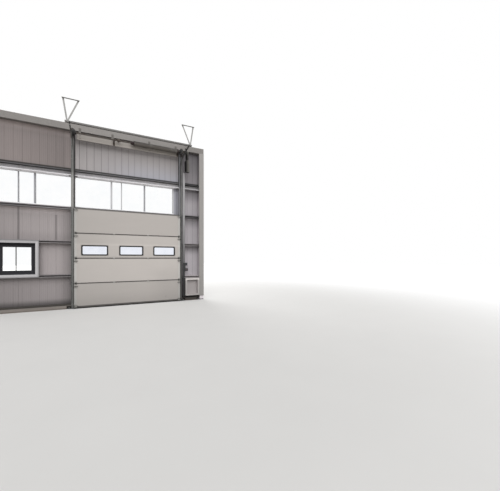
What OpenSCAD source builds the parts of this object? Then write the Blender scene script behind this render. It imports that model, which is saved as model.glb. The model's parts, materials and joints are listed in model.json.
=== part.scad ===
// Loading-door bay of an industrial unit's wall, floor to eaves, in millimetres.
// The origin is on the floor under the middle of the left column. X runs along the
// wall, Y points out of doors and Z up, so the room is on the -Y side.

/* [Bay] */
// Distance from the left column's centre line to the corner post's
bay_w = 6000; // [5800:10:6400]
// Height of the eaves beam's top above the floor
eaves_h = 5500; // [5500:10:5700]
// Distance from the door's centre line to the corner post's
corner_reach = 2365; // [2320:5:2450]

/* [Steel frame] */
// Width of the column along the wall
col_w = 200; // [180:5:220]
// Depth of the column through the wall
col_d = 200; // [190:5:220]
// Thickness of the column's flanges
col_flange = 12; // [8:1:16]
// Thickness of the column's web
col_web = 8; // [6:1:12]
// Depth of the posts and rails through the wall
steel_d = 140; // [120:5:150]
// Width of a door post along the wall
post_w = 100; // [90:5:120]
// Width of the corner post along the wall
corner_w = 150; // [120:5:160]
// Wall thickness of the hollow posts
tube_wall = 6; // [4:0.5:8]
// Thickness of the base plates
plate_t = 20; // [15:1:25]
// Radius of the holes in the base plates
plate_hole_r = 12; // [9:0.5:13]
// Height of the eaves beam
eaves_beam_h = 190; // [180:5:240]
// Height of the rail over the strip window
head_rail_h = 160; // [140:5:180]
// Height of a side rail's flanges
rail_h = 80; // [60:2:90]
// Sheet thickness of the cold formed rails
rail_t = 3; // [2:0.5:4]
// Height of the lower left rail's top
low_rail_top = 1030; // [1000:5:1040]
// Height of the middle rails' underside
mid_rail_bottom = 1940; // [1910:5:1950]
// Height of the lower right rail's underside
right_low_rail = 800; // [785:5:815]
// Thickness of the rails' cleats
cleat_t = 6; // [4:1:8]

/* [Cladding] */
// Thickness of the wall panels
panel_t = 80; // [60:5:100]
// Height of the ribs on the outer face
rib_out = 35; // [20:1:40]
// Spacing of the grooves on the inner face
groove_pitch = 195; // [150:5:250]
// Gap between two wall panels
panel_joint = 4; // [2:1:6]
// Height of the concrete kerb
kerb_h = 150; // [100:5:180]
// Joints of the panels over the windows, from the door's centre line
upper_joints = [-2811, -2031, -1251, -276, 894]; // [-3000:1:1200]
// Joints of the panels under the strip window, from the door's centre line
lower_joints = [-2897, -2031]; // [-3000:1:-1700]

/* [Strip window] */
// Height of the strip window's sill
strip_z = 3030; // [3030:5:3060]
// Height of the strip window from sill to head
strip_h = 960; // [900:5:1000]
// Distance from the strip window's right end to the door post
strip_gap = 160; // [140:2:200]
// Face width of the strip window's frame bars
strip_bar = 34; // [28:1:60]
// Depth of the window frames through the wall
frame_d = 70; // [60:2:80]
// Thickness of the glass
glass_t = 24; // [16:2:28]
// Face width of the glazing beads
bead_w = 6; // [5:1:16]
// Main mullions, from the door's centre line
mullion_x = [-2530, -574, 421]; // [-3000:1:1200]
// Slim mullions, from the door's centre line
slim_mullion_x = [-2900, -282]; // [-3000:1:1200]
// Face width of the slim mullions
slim_bar = 14; // [12:1:30]

/* [Low window] */
// Distance from the column's centre line to the opening's left side
low_x = 285; // [280:1:300]
// Width of the opening in the lining
low_w = 857; // [840:1:870]
// Width of the white face trim
trim_w = 85; // [70:1:90]
// Thickness of the lining boards
lining_t = 12; // [9:1:14]
// Width of the window's fixed frame and sash together
casement_w = 108; // [95:1:115]
// Width of the sash bars
sash_w = 46; // [40:1:50]
// Distance from the opening's left side to the glazing bar's middle
low_bar_x = 402; // [380:1:440]
// Face width of the glazing bar
low_bar_w = 12; // [10:1:20]

/* [Door leaf] */
// Clear width between the door posts
opening_w = 3098; // [3000:2:3150]
// Height of one door section
section_h = 750; // [720:5:755]
// How far the leaf laps over each post
leaf_lap = 21; // [15:1:25]
// Thickness of the leaf
leaf_t = 40; // [38:1:44]
// Gap between the leaf and the posts
leaf_gap = 10; // [8:1:14]
// Height of the rubber seal under the leaf
seal_h = 30; // [20:1:40]
// Visible gap between two door sections
section_joint = 4; // [3:0.5:6]
// Height of the slope that leads into a joint on the room side
joint_slope = 14; // [10:1:16]
// Width of a door light over its frame
light_w = 715; // [650:5:740]
// Height of a door light over its frame
light_h = 311; // [280:1:330]
// Distance between the middles of two door lights
light_pitch = 1030; // [900:5:1060]
// Width of the sheet caps on the sections' ends
cap_w = 60; // [50:1:70]
// Thickness of the end caps
cap_t = 1.5; // [1:0.25:2]
// Height of a roller's axis under its joint
roller_drop = 85; // [70:1:100]
// Distance of the middle hinges from the door's centre line
hinge_reach = 505; // [480:5:540]

/* [Tracks] */
// Gap between the leaf's edge and the track
track_gap = 13; // [10:1:16]
// Width of the track along the wall
track_w = 26; // [24:1:30]
// Depth of the track's channel through the wall
track_d = 52; // [50:0.5:56]
// Sheet thickness of the track
track_t = 2.5; // [2:0.25:3]
// Distance from the leaf's inner face to the rollers' axes
roller_off = 35; // [32:1:45]
// Radius of a roller's tyre
roller_r = 22.5; // [21:0.5:23]
// Drop from the shaft to the height at which the track starts to bend inwards
bend_drop = 500; // [480:5:540]
// Radius of the bend at the rollers' axes
bend_r = 305; // [280:5:330]
// Rise of the upper track in degrees
track_slope = 6; // [3:1:8]
// Distance from the leaf's inner face to the back bar
back_reach = 1000; // [900:10:1200]

/* [Lifting gear] */
// Drop from the eaves beam's top to the shaft
shaft_drop = 310; // [300:5:320]
// Distance of the shaft in front of the posts
shaft_off = 145; // [140:1:155]
// Radius of the shaft
shaft_r = 16; // [12.5:0.5:16]
// Radius of the drums at the cable
drum_r = 115; // [105:1:118]
// Radius of the lifting cables
cable_r = 2; // [1.5:0.5:3]
// Outer radius of the torsion spring
spring_r = 76; // [70:0.5:80]
// Diameter of the torsion spring's wire
wire_d = 12; // [10:0.5:13]
// Length of the torsion spring
spring_len = 1385; // [1300:5:1430]
// Distance of the middle bearing from the spring's end
bearing_gap = 575; // [540:5:620]
// Distance of the shaft's coupling from the middle bearing
coupling_gap = 130; // [110:5:160]
// Width of the cable drums
drum_w = 95; // [80:1:98]
// Height of the header rail behind the shaft
header_h = 185; // [170:5:200]

/* [Operator] */
// Distance of the operator from the leaf's edge
op_reach = 215; // [205:1:240]
// Half the height of the gear housing
gear_r = 60; // [55:1:65]
// Radius of the motor
motor_r = 42; // [38:1:45]
// Length of the motor under the gear
motor_len = 200; // [180:5:220]
// Height of the lower case
case_h = 420; // [380:5:440]
// Width of the lower case
case_w = 138; // [120:2:140]
// Depth of the lower case
case_d = 110; // [100:2:120]

/* [Hidden] */
$fn = 48;

// Small gap left where one piece seats on another, and the overrun of a cut
seat = 0.3;
cut = 1;

// Planes through the wall, from the room outwards
steel_y1 = col_d / 2;
steel_y0 = steel_y1 - steel_d;
leaf_y1 = steel_y0 - leaf_gap;
leaf_y0 = leaf_y1 - leaf_t;
roller_y = leaf_y0 - roller_off;
panel_y1 = steel_y1 + panel_t;
shaft_y = steel_y0 - shaft_off;

// Places along the wall
door_x = bay_w - corner_reach;
opening_x0 = door_x - opening_w / 2;
opening_x1 = door_x + opening_w / 2;
left_post_x = opening_x0 - post_w / 2;
right_post_x = opening_x1 + post_w / 2;
leaf_half = opening_w / 2 + leaf_lap;
wall_x0 = -col_w / 2;
wall_x1 = bay_w + corner_w / 2;
strip_x1 = opening_x1 - strip_gap;
rail_gap = 5;
bay_x0 = col_w / 2 + rail_gap;
left_bay_x1 = opening_x0 - post_w - seat;
right_bay_x0 = opening_x1 + post_w + seat;
right_bay_x1 = bay_w - corner_w / 2 - seat;

// Heights
leaf_h = 4 * section_h;
strip_z1 = strip_z + strip_h;
post_top = eaves_h - eaves_beam_h - seat;
shaft_z = eaves_h - shaft_drop;
bend_z = shaft_z - bend_drop;
panel_top = eaves_h - 50;
sill_rail_z = strip_z - rail_h;
head_lap = 25;
head_rail_z = strip_z1 - head_lap;

// Base plates
col_plate = 300;
col_bolt = 220;
plate_out = 100;
post_bolt = 80;

// Door lights are lower than the middle of their section
light_up = 242;
light_z = 2 * section_h + light_up;

function at(x) = door_x + x;

module block(x0, x1, y0, y1, z0, z1) {
    translate([x0, y0, z0]) cube([x1 - x0, y1 - y0, z1 - z0]);
}

// Turns an outline drawn in (Y, Z) into a bar along X from x0 to x1
module along_x(x0, x1) {
    translate([x0, 0, 0]) rotate([90, 0, 90]) linear_extrude(x1 - x0) children();
}

// Copies a piece to both sides of the door's centre line
module both_sides() {
    for (side = [0, 1])
        translate([door_x, 0, 0]) mirror([side, 0, 0]) children();
}

module rod_x(x0, x1, y, z, r) {
    translate([x0, y, z]) rotate([0, 90, 0]) cylinder(h = x1 - x0, r = r);
}

module tube_post(x, w, z1) {
    difference() {
        block(x - w / 2, x + w / 2, steel_y0, steel_y1, plate_t, z1);
        block(x - w / 2 + tube_wall, x + w / 2 - tube_wall, steel_y0 + tube_wall,
              steel_y1 - tube_wall, plate_t - cut, z1 + cut);
    }
}

module post_plate(x0, x1, hole_x) {
    difference() {
        block(x0, x1, steel_y0, steel_y1, 0, plate_t);
        for (s = [-1, 1])
            translate([hole_x, (steel_y0 + steel_y1) / 2 + s * post_bolt / 2, -cut])
                cylinder(h = plate_t + 2 * cut, r = plate_hole_r);
    }
}

module base_plates() color("dimgray") {
    difference() {
        block(-col_plate / 2, col_plate / 2, -col_plate / 2, col_plate / 2, 0, plate_t);
        for (sx = [-1, 1], sy = [-1, 1])
            translate([sx * col_bolt / 2, sy * col_bolt / 2, -cut])
                cylinder(h = plate_t + 2 * cut, r = plate_hole_r);
    }
    post_plate(opening_x0 - post_w - plate_out, opening_x0,
               opening_x0 - post_w - plate_out / 2);
    post_plate(opening_x1, opening_x1 + post_w + plate_out,
               opening_x1 + post_w + plate_out / 2);
    post_plate(bay_w - corner_w / 2 - plate_out, wall_x1,
               bay_w - corner_w / 2 - plate_out / 2);
}

// Rolled I section with its web square to the wall, and its cap plate
cap_plate_t = 12;
module left_column() color("slategray") {
    translate([0, 0, plate_t]) linear_extrude(eaves_h - plate_t - cap_plate_t) {
        for (s = [-1, 1])
            translate([-col_w / 2, s * (col_d - col_flange) / 2 - col_flange / 2])
                square([col_w, col_flange]);
        translate([-col_web / 2, -col_d / 2]) square([col_web, col_d]);
    }
    block(-col_w / 2, col_w / 2, -col_d / 2, col_d / 2, eaves_h - cap_plate_t, eaves_h);
}

module left_door_post() color("slategray") tube_post(left_post_x, post_w, post_top);

module right_door_post() color("slategray") tube_post(right_post_x, post_w, post_top);

module corner_post() color("slategray") tube_post(bay_w, corner_w, post_top);

// White folded cover over the corner post's room face
trim_t = 3;
trim_off = 20;
trim_return = 30;
module corner_trim() color("whitesmoke")
    translate([0, 0, kerb_h]) linear_extrude(post_top - kerb_h) {
        x0 = bay_w - corner_w / 2 - trim_off;
        y0 = steel_y0 - trim_off;
        translate([x0, y0]) square([wall_x1 - x0, trim_t]);
        translate([x0, y0]) square([trim_t, trim_off + trim_return]);
        translate([wall_x1 - trim_t, y0]) square([trim_t, trim_off - seat]);
    }

// Lipped channel outline with its web at the left, foot at (0, 0)
module channel_outline(h, d, t, lip) {
    square([t, h]);
    square([d, t]);
    translate([0, h - t]) square([d, t]);
    if (lip > 0) {
        translate([d - t, 0]) square([t, lip]);
        translate([d - t, h - lip]) square([t, lip]);
    }
}

beam_lip = 25;
rail_lip = 20;
module eaves_beam() color("lightgray")
    along_x(bay_x0, wall_x1) translate([steel_y0, eaves_h - eaves_beam_h])
        channel_outline(eaves_beam_h, steel_d, rail_t, beam_lip);

// A rail turns its web outwards and its lips to the room
module channel_rail(x0, x1, z, h)
    along_x(x0, x1) translate([steel_y1, z]) mirror([1, 0])
        channel_outline(h, steel_d, rail_t, rail_lip);

module window_head_rails() color("darkgray") {
    channel_rail(bay_x0, left_bay_x1, head_rail_z, head_rail_h);
    channel_rail(opening_x0 + seat, opening_x1 - seat, head_rail_z, head_rail_h);
    channel_rail(right_bay_x0, right_bay_x1, head_rail_z, head_rail_h);
}

module window_sill_rails() color("darkgray") {
    channel_rail(bay_x0, left_bay_x1, sill_rail_z, rail_h);
    channel_rail(opening_x0 + seat, opening_x1 - seat, sill_rail_z, rail_h);
    channel_rail(right_bay_x0, right_bay_x1, sill_rail_z, rail_h);
}

module upper_side_rails() color("darkgray") {
    channel_rail(bay_x0, left_bay_x1, mid_rail_bottom, rail_h);
    channel_rail(right_bay_x0, right_bay_x1, mid_rail_bottom, rail_h);
}

module lower_side_rails() color("darkgray") {
    channel_rail(bay_x0, left_bay_x1, low_rail_top - rail_h, rail_h);
    channel_rail(right_bay_x0, right_bay_x1, right_low_rail, rail_h);
}

// Angle cleats that carry the rails' ends: x is the support's face, way is +1 or -1
cleat_w = 60;
cleat_in = 25;
module cleat(x, way, length, z)
    translate([x, 0, z - seat]) mirror([way < 0 ? 1 : 0, 0, 0]) {
        block(0, length, steel_y0 + cleat_in, steel_y1 - cleat_in, -cleat_t, 0);
        block(0, cleat_t, steel_y0 + cleat_in, steel_y1 - cleat_in, -cleat_w, 0);
    }

module rail_cleats() color("gray") {
    left_z = [low_rail_top - rail_h, mid_rail_bottom, sill_rail_z, head_rail_z];
    right_z = [right_low_rail, mid_rail_bottom, sill_rail_z, head_rail_z];
    for (z = concat(left_z, [eaves_h - eaves_beam_h]))
        cleat(col_web / 2, 1, bay_x0 + cleat_w - col_web / 2, z);
    for (z = left_z) cleat(left_bay_x1 + seat, -1, cleat_w, z);
    for (z = right_z) {
        cleat(right_bay_x0 - seat, 1, cleat_w, z);
        cleat(right_bay_x1 + seat, -1, cleat_w, z);
    }
    for (z = [sill_rail_z, head_rail_z]) {
        cleat(opening_x0, 1, cleat_w, z);
        cleat(opening_x1, -1, cleat_w, z);
    }
}

// Upright trimmers beside the low window, between the two side rails
trimmer_w = 40;
trimmer_in = 3;
module window_trimmers() color("darkgray")
    for (x = [low_x - lining_t - seat - trimmer_w, low_x + low_w + lining_t + seat])
        difference() {
            block(x, x + trimmer_w, steel_y0 + trimmer_in, steel_y1 - trimmer_in,
                  low_rail_top + seat, mid_rail_bottom - seat);
            block(x + rail_t, x + trimmer_w - rail_t, steel_y0 + trimmer_in + rail_t,
                  steel_y1 - trimmer_in - rail_t, low_rail_top - cut, mid_rail_bottom + cut);
        }

// Cast kerb with a chamfer on its room side. It stops at the steel, runs on behind it
// under the panels, and leaves a pocket over each base plate.
kerb_chamfer = 15;
pocket_gap = 10;
pocket_h = 90;
module kerb(x0, x1) along_x(x0, x1)
    polygon([[steel_y0, 0], [panel_y1, 0], [panel_y1, kerb_h],
             [steel_y0 + kerb_chamfer, kerb_h], [steel_y0, kerb_h - kerb_chamfer]]);

module kerb_cut(x0, x1, y1, z1) block(x0, x1, steel_y0 - cut, y1, -cut, z1);

module kerbs() color("tan") difference() {
    union() {
        kerb(col_w / 2 + seat, opening_x0);
        kerb(opening_x1, wall_x1);
    }
    kerb_cut(0, (col_plate + 2 * pocket_gap) / 2, col_plate / 2 + pocket_gap, pocket_h);
    kerb_cut(opening_x0 - post_w - plate_out - pocket_gap, opening_x0 + cut, steel_y1 + seat,
             pocket_h);
    kerb_cut(opening_x0 - post_w - seat, opening_x0 + cut, steel_y1 + seat, kerb_h + cut);
    kerb_cut(opening_x1 - cut, opening_x1 + post_w + plate_out + pocket_gap, steel_y1 + seat,
             pocket_h);
    kerb_cut(opening_x1 - cut, opening_x1 + post_w + seat, steel_y1 + seat, kerb_h + cut);
    kerb_cut(bay_w - corner_w / 2 - plate_out - pocket_gap, wall_x1 + cut, steel_y1 + seat,
             pocket_h);
    kerb_cut(bay_w - corner_w / 2 - seat, wall_x1 + cut, steel_y1 + seat, kerb_h + cut);
}

// One wall panel between x0 and x1: grooves on the inner face, counted from a joint
// that both rows share, and ribs on the outer one, set about the panel's middle
groove_w = 10;
groove_d = 3;
groove_x = at(upper_joints[1]);
rib_pitch = 1000 / 3;
rib_top = 34;
rib_foot = 74;
rib_edge = 10;

function grooves(x0, x1) = [
    for (k = [ceil((x0 + groove_w - groove_x) / groove_pitch) :
              floor((x1 - groove_w - groove_x) / groove_pitch)])
        for (p = [[-groove_w / 2, 0], [0, groove_d], [groove_w / 2, 0]])
            [groove_x + k * groove_pitch + p[0], steel_y1 + p[1]]
];

function ribs(x0, x1) =
    let (n = floor((x1 - x0 - rib_foot - 2 * rib_edge) / rib_pitch),
         last = (x0 + x1) / 2 + n * rib_pitch / 2)
    [for (k = [0 : n])
        for (p = [[rib_foot / 2, 0], [rib_top / 2, rib_out], [-rib_top / 2, rib_out],
                  [-rib_foot / 2, 0]])
            [last - k * rib_pitch + p[0], panel_y1 + p[1]]];

module panel(x0, x1, z0, z1)
    translate([0, 0, z0]) linear_extrude(z1 - z0)
        polygon(concat([[x0, steel_y1]], grooves(x0, x1), [[x1, steel_y1], [x1, panel_y1]],
                       ribs(x0, x1), [[x0, panel_y1]]));

// A row of panels between the places in edges, with joints between them
module panel_row(edges, z0, z1)
    for (i = [0 : len(edges) - 2])
        panel(edges[i] + (i > 0 ? panel_joint / 2 : 0),
              edges[i + 1] - (i < len(edges) - 2 ? panel_joint / 2 : 0), z0, z1);

// The two middle panels are notched round the low window's lining
module left_wall_panels() color("silver") difference() {
    panel_row([wall_x0, at(lower_joints[0]), at(lower_joints[1]), opening_x0], kerb_h,
              strip_z - seat);
    block(low_x - lining_t - seat, low_x + low_w + lining_t + seat, steel_y0,
          panel_y1 + rib_out + cut, low_rail_top - seat, mid_rail_bottom + seat);
}

module upper_left_panels() color("silver")
    panel_row([wall_x0, at(upper_joints[0]), at(upper_joints[1]),
               at(upper_joints[2]) - panel_joint / 2], strip_z1 + seat, panel_top);

module upper_door_panels() color("silver") {
    x1 = opening_x1 - panel_joint;
    panel_row([at(upper_joints[2]) + panel_joint / 2, at(upper_joints[3]),
               at(upper_joints[4]), x1], strip_z1 + seat, panel_top);
    panel(strip_x1 + seat, x1, strip_z, strip_z1 - panel_joint);
}

module right_wall_panels() color("silver")
    panel(opening_x1, wall_x1, kerb_h, panel_top);

// Folded flashings round the doorway and under the strip window, out of doors
flash_t = 2;
flash_lap = 60;
module outer_flashings() color("dimgray") {
    y0 = steel_y1;
    y1 = panel_y1 + rib_out + seat;
    for (s = [0, 1]) translate([s ? opening_x1 : opening_x0, 0, kerb_h])
        mirror([s, 0, 0]) linear_extrude(leaf_h - kerb_h) {
            translate([seat, y0]) square([flash_t, y1 + flash_t - y0]);
            translate([-flash_lap, y1]) square([flash_lap + seat + flash_t, flash_t]);
        }
    along_x(wall_x0, strip_x1) translate([0, strip_z]) {
        translate([steel_y1 + frame_d + seat, 0])
            square([y1 - steel_y1 - frame_d, flash_t]);
        translate([y1, -flash_lap]) square([flash_t, flash_lap + flash_t]);
    }
    along_x(wall_x0, wall_x1) translate([0, panel_top]) {
        translate([steel_y1, seat]) square([y1 - steel_y1, flash_t]);
        translate([y1, -flash_lap]) square([flash_t, flash_lap + seat + flash_t]);
    }
}

// Strip window: its bars as [middle, width], and its panes between them
strip_bars = [[at(slim_mullion_x[0]), slim_bar], [at(mullion_x[0]), strip_bar],
              [left_post_x, strip_bar], [at(mullion_x[1]), strip_bar],
              [at(slim_mullion_x[1]), slim_bar], [at(mullion_x[2]), strip_bar]];
pane_edges = concat([[wall_x0 + strip_bar, 0]], strip_bars, [[strip_x1 - strip_bar, 0]]);
function pane_x0(i) = pane_edges[i][0] + pane_edges[i][1] / 2;
function pane_x1(i) = pane_edges[i + 1][0] - pane_edges[i + 1][1] / 2;
glass_y = steel_y1 + frame_d / 2;
bead_edge = 4;

// Beads on both faces of a pane, one body with the bars that they stand on
module beads(x0, x1, z0, z1, y, depth) for (s = [-1, 1]) {
    y0 = s < 0 ? y - depth / 2 + bead_edge : y + glass_t / 2 + seat;
    y1 = s < 0 ? y - glass_t / 2 - seat : y + depth / 2 - bead_edge;
    difference() {
        block(x0 - cut, x1 + cut, y0, y1, z0 - cut, z1 + cut);
        block(x0 + bead_w, x1 - bead_w, y0 - cut, y1 + cut, z0 + bead_w, z1 - bead_w);
    }
}

module strip_window_frame() color("dimgray") {
    y0 = steel_y1;
    y1 = steel_y1 + frame_d;
    difference() {
        block(wall_x0, strip_x1, y0, y1, strip_z, strip_z1);
        block(wall_x0 + strip_bar, strip_x1 - strip_bar, y0 - cut, y1 + cut,
              strip_z + strip_bar, strip_z1 - strip_bar);
    }
    for (bar = strip_bars)
        block(bar[0] - bar[1] / 2, bar[0] + bar[1] / 2, y0, y1, strip_z + strip_bar / 2,
              strip_z1 - strip_bar / 2);
    for (i = [0 : len(strip_bars)])
        beads(pane_x0(i), pane_x1(i), strip_z + strip_bar, strip_z1 - strip_bar, glass_y,
              frame_d);
}

module strip_window_glass() color("aliceblue", 0.4)
    for (i = [0 : len(strip_bars)])
        block(pane_x0(i) + seat, pane_x1(i) - seat, glass_y - glass_t / 2,
              glass_y + glass_t / 2, strip_z + strip_bar + seat, strip_z1 - strip_bar - seat);

// White lining boards with a face trim round the low window
low_z0 = low_rail_top + lining_t + seat;
low_z1 = mid_rail_bottom - lining_t - seat;
trim_depth = 12;
module low_window_lining() color("white") {
    x0 = low_x;
    x1 = low_x + low_w;
    difference() {
        union() {
            block(x0 - lining_t, x1 + lining_t, steel_y0 - trim_depth, steel_y1 + panel_t / 2,
                  low_z0 - lining_t, low_z1 + lining_t);
            block(x0 - trim_w, x1 + trim_w, steel_y0 - trim_depth, steel_y0 - seat,
                  low_z0 - trim_w, low_z1 + trim_w);
        }
        block(x0, x1, steel_y0 - trim_depth - cut, panel_y1, low_z0, low_z1);
    }
}

// Fixed frame, and a sash with a glazing bar inside it
frame_back = 20;
sash_out = 8;
low_y0 = steel_y1 - frame_back;
low_glass_y = low_y0 + (frame_d - sash_out) / 2;
sash_x0 = low_x + casement_w - sash_w;
sash_x1 = low_x + low_w - casement_w + sash_w;
sash_z0 = low_z0 + casement_w - sash_w;
sash_z1 = low_z1 - casement_w + sash_w;
bar_mid = low_x + low_bar_x;
module low_window_frame() color("darkslategray") {
    difference() {
        block(low_x + seat, low_x + low_w - seat, low_y0, low_y0 + frame_d, low_z0 + seat,
              low_z1 - seat);
        block(sash_x0 - seat, sash_x1 + seat, low_y0 - cut, low_y0 + frame_d + cut,
              sash_z0 - seat, sash_z1 + seat);
    }
    difference() {
        block(sash_x0, sash_x1, low_y0 - sash_out, low_y0 + frame_d - sash_out, sash_z0,
              sash_z1);
        block(sash_x0 + sash_w, sash_x1 - sash_w, low_y0 - sash_out - cut,
              low_y0 + frame_d, sash_z0 + sash_w, sash_z1 - sash_w);
    }
    block(bar_mid - low_bar_w / 2, bar_mid + low_bar_w / 2, low_glass_y - glass_t / 2 - seat,
          low_glass_y + glass_t / 2 + seat, sash_z0 + sash_w / 2, sash_z1 - sash_w / 2);
    beads(low_panes[0][0], low_panes[1][1], sash_z0 + sash_w, sash_z1 - sash_w, low_glass_y,
          frame_d - sash_out);
}

low_panes = [[sash_x0 + sash_w, bar_mid - low_bar_w / 2],
             [bar_mid + low_bar_w / 2, sash_x1 - sash_w]];
module low_window_glass() color("aliceblue", 0.4)
    for (span = low_panes)
        block(span[0] + seat, span[1] - seat, low_glass_y - glass_t / 2,
              low_glass_y + glass_t / 2, sash_z0 + sash_w + seat, sash_z1 - sash_w - seat);

// Section outline in (Y, Z): tongue on the top edge, groove in the bottom one
tongue_h = 9;
tongue_w = 16;
tongue_fit = 2;
edge_bevel = 5;
joint_depth = 9;
leaf_mid = (leaf_y0 + leaf_y1) / 2;

// Tongue as a tapered outline that starts a little below its edge, widened by grow
module tongue(z, grow)
    polygon([[leaf_mid - tongue_w / 2 - grow, z - cut], [leaf_mid + tongue_w / 2 + grow, z - cut],
             [leaf_mid + tongue_w / 4 + grow, z + tongue_h],
             [leaf_mid - tongue_w / 4 - grow, z + tongue_h]]);

module section_outline(z0, z1, grooved, tongued) difference() {
    low = grooved ? joint_slope : edge_bevel;
    high = tongued ? joint_slope : edge_bevel;
    union() {
        polygon([[leaf_y0, z0 + low], [leaf_y0 + (grooved ? joint_depth : edge_bevel), z0],
                 [leaf_y1 - edge_bevel, z0], [leaf_y1, z0 + edge_bevel],
                 [leaf_y1, z1 - edge_bevel], [leaf_y1 - edge_bevel, z1],
                 [leaf_y0 + (tongued ? joint_depth : edge_bevel), z1], [leaf_y0, z1 - high]]);
        if (tongued) tongue(z1, 0);
    }
    if (grooved) tongue(z0, tongue_fit);
}

// Folded sheet cap over a section's end
cap_y0 = leaf_y0 - seat - cap_t;
cap_y1 = leaf_y1 + seat + cap_t;
cap_x1 = leaf_half + seat + cap_t;
module end_caps(z0, z1) both_sides() difference() {
    block(leaf_half - cap_w, cap_x1, cap_y0, cap_y1, z0, z1);
    block(leaf_half - cap_w - cut, leaf_half + seat, leaf_y0 - seat, leaf_y1 + seat, z0 - cut,
          z1 + cut);
}

module door_section(n) {
    z0 = n == 1 ? seal_h : (n - 1) * section_h + section_joint / 2;
    z1 = n == 4 ? leaf_h : n * section_h - section_joint / 2;
    along_x(door_x - leaf_half, door_x + leaf_half)
        section_outline(z0, z1, n > 1, n < 4);
    end_caps(z0 + edge_bevel, z1 - edge_bevel);
}

light_bar = 30;
light_round = 45;
light_inner = 30;
module light_places() for (i = [-1 : 1]) translate([at(i * light_pitch), 0, light_z]) children();

// A plate in the wall's plane with rounded corners, centred on the origin
module round_plate(w, h, r, y0, y1)
    translate([0, y1, 0]) rotate([90, 0, 0]) linear_extrude(y1 - y0) {
        square([w - 2 * r, h], center = true);
        square([w, h - 2 * r], center = true);
        for (sx = [-1, 1], sz = [-1, 1])
            translate([sx * (w / 2 - r), sz * (h / 2 - r)]) circle(r = r);
    }

module door_section_1() color("gainsboro") door_section(1);
module door_section_2() color("gainsboro") door_section(2);
module door_section_4() color("gainsboro") door_section(4);
module door_section_3() color("gainsboro") difference() {
    door_section(3);
    light_places() round_plate(light_w - 2 * light_bar, light_h - 2 * light_bar, light_inner,
                               leaf_y0 - cut, leaf_y1 + cut);
}

// Each light has a stepped frame on both faces of the leaf
light_lip = 5;
light_step = 8;
light_over = 5;
module light_ring(inset, y0, y1) difference() {
    round_plate(light_w - 2 * inset, light_h - 2 * inset, light_round - inset, y0, y1);
    round_plate(light_w - 2 * (light_bar + light_over), light_h - 2 * (light_bar + light_over),
                light_inner - light_over, y0 - cut, y1 + cut);
}

module door_light_frames() color("black") light_places() {
    light_ring(0, leaf_y0 - light_lip, leaf_y0);
    light_ring(light_step, leaf_y0 - 2 * light_lip, leaf_y0 - light_lip);
    light_ring(0, leaf_y1, leaf_y1 + light_lip);
}

module door_light_glass() color("aliceblue", 0.4) light_places()
    round_plate(light_w - 2 * light_bar - 2 * seat, light_h - 2 * light_bar - 2 * seat,
                light_inner, leaf_mid - glass_t / 2, leaf_mid + glass_t / 2);

// Rubber seal with its retainer under the leaf
seal_rail = 8;
seal_foot = 20;
module bottom_seal() color("black")
    along_x(door_x - leaf_half, door_x + leaf_half) translate([leaf_mid, 0]) {
        translate([-leaf_t / 2, seal_h - seal_rail]) square([leaf_t, seal_rail - seat]);
        polygon([[seal_rail / 2 - leaf_t / 2, seal_h - seal_rail + cut], [-seal_foot / 2, 0],
                 [seal_foot / 2, 0], [leaf_t / 2 - seal_rail / 2, seal_h - seal_rail + cut]]);
    }

// Strips up the posts behind the leaf and the upper tracks, and one over the leaf
// against the sill rail's lip
seal_in = 2;
head_seal_h = 25;
module side_seals() color("black") {
    both_sides() block(opening_w / 2 + seal_in, leaf_half - seal_in, cap_y1 + seat,
                       steel_y0 - seat, plate_t, header_z + header_h / 2);
    block(opening_x0 + seal_in, opening_x1 - seal_in, leaf_y1 + seat, steel_y0 - seat,
          sill_rail_z + seal_in, sill_rail_z + seal_in + head_seal_h);
}

// Track channel in (X, Y): open towards the door, its rollers' axis on Y = 0
track_lip = 7;
module track_outline() {
    difference() {
        translate([0, -track_d / 2]) square([track_w, track_d]);
        translate([-cut, -track_d / 2 + track_t])
            square([track_w - track_t + cut, track_d - 2 * track_t]);
    }
    translate([0, track_d / 2 - track_lip]) square([track_t, track_lip]);
    translate([0, -track_d / 2]) square([track_t, track_lip]);
}

track_x = leaf_half + track_gap;
track_foot = 30;
module vertical_tracks() color("silver") both_sides()
    translate([track_x, roller_y, track_foot]) linear_extrude(bend_z - track_foot - seat)
        track_outline();

// The bend turns about an axis along X, and a straight run follows it. A flag plate
// joins the bend to the upright track and to the post.
bend_y = roller_y - bend_r;
bend_turn = 90 - track_slope;
run_past = 60;
run_len = (back_reach - roller_off - bend_r + bend_r * sin(track_slope)) / cos(track_slope)
    + run_past;
flag_up = 230;
flag_reach = bend_r - sqrt(bend_r * bend_r - flag_up * flag_up);
module curved_tracks() color("silver") both_sides() {
    translate([track_x, bend_y, bend_z]) {
        rotate([90, 0, 90]) rotate_extrude(angle = bend_turn) translate([bend_r, 0])
            mirror([1, -1]) track_outline();
        rotate([bend_turn, 0, 0]) translate([0, bend_r, seat]) linear_extrude(run_len)
            track_outline();
    }
    along_x(angle_x, angle_x + angle_t)
        polygon([[steel_y0 - seat, bend_z - flag_down + seat], [steel_y0 - seat, bend_z + flag_up],
                 [roller_y - flag_reach - track_d / 4, bend_z + flag_up],
                 [roller_y - track_d / 2 + angle_in, bend_z],
                 [roller_y - track_d / 2 + angle_in, bend_z - flag_down + seat]]);
    block(angle_x, angle_x + angle_leg, steel_y0 - angle_t - seat, steel_y0 - seat,
          bend_z - flag_down + seat, bend_z + flag_up);
}

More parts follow.
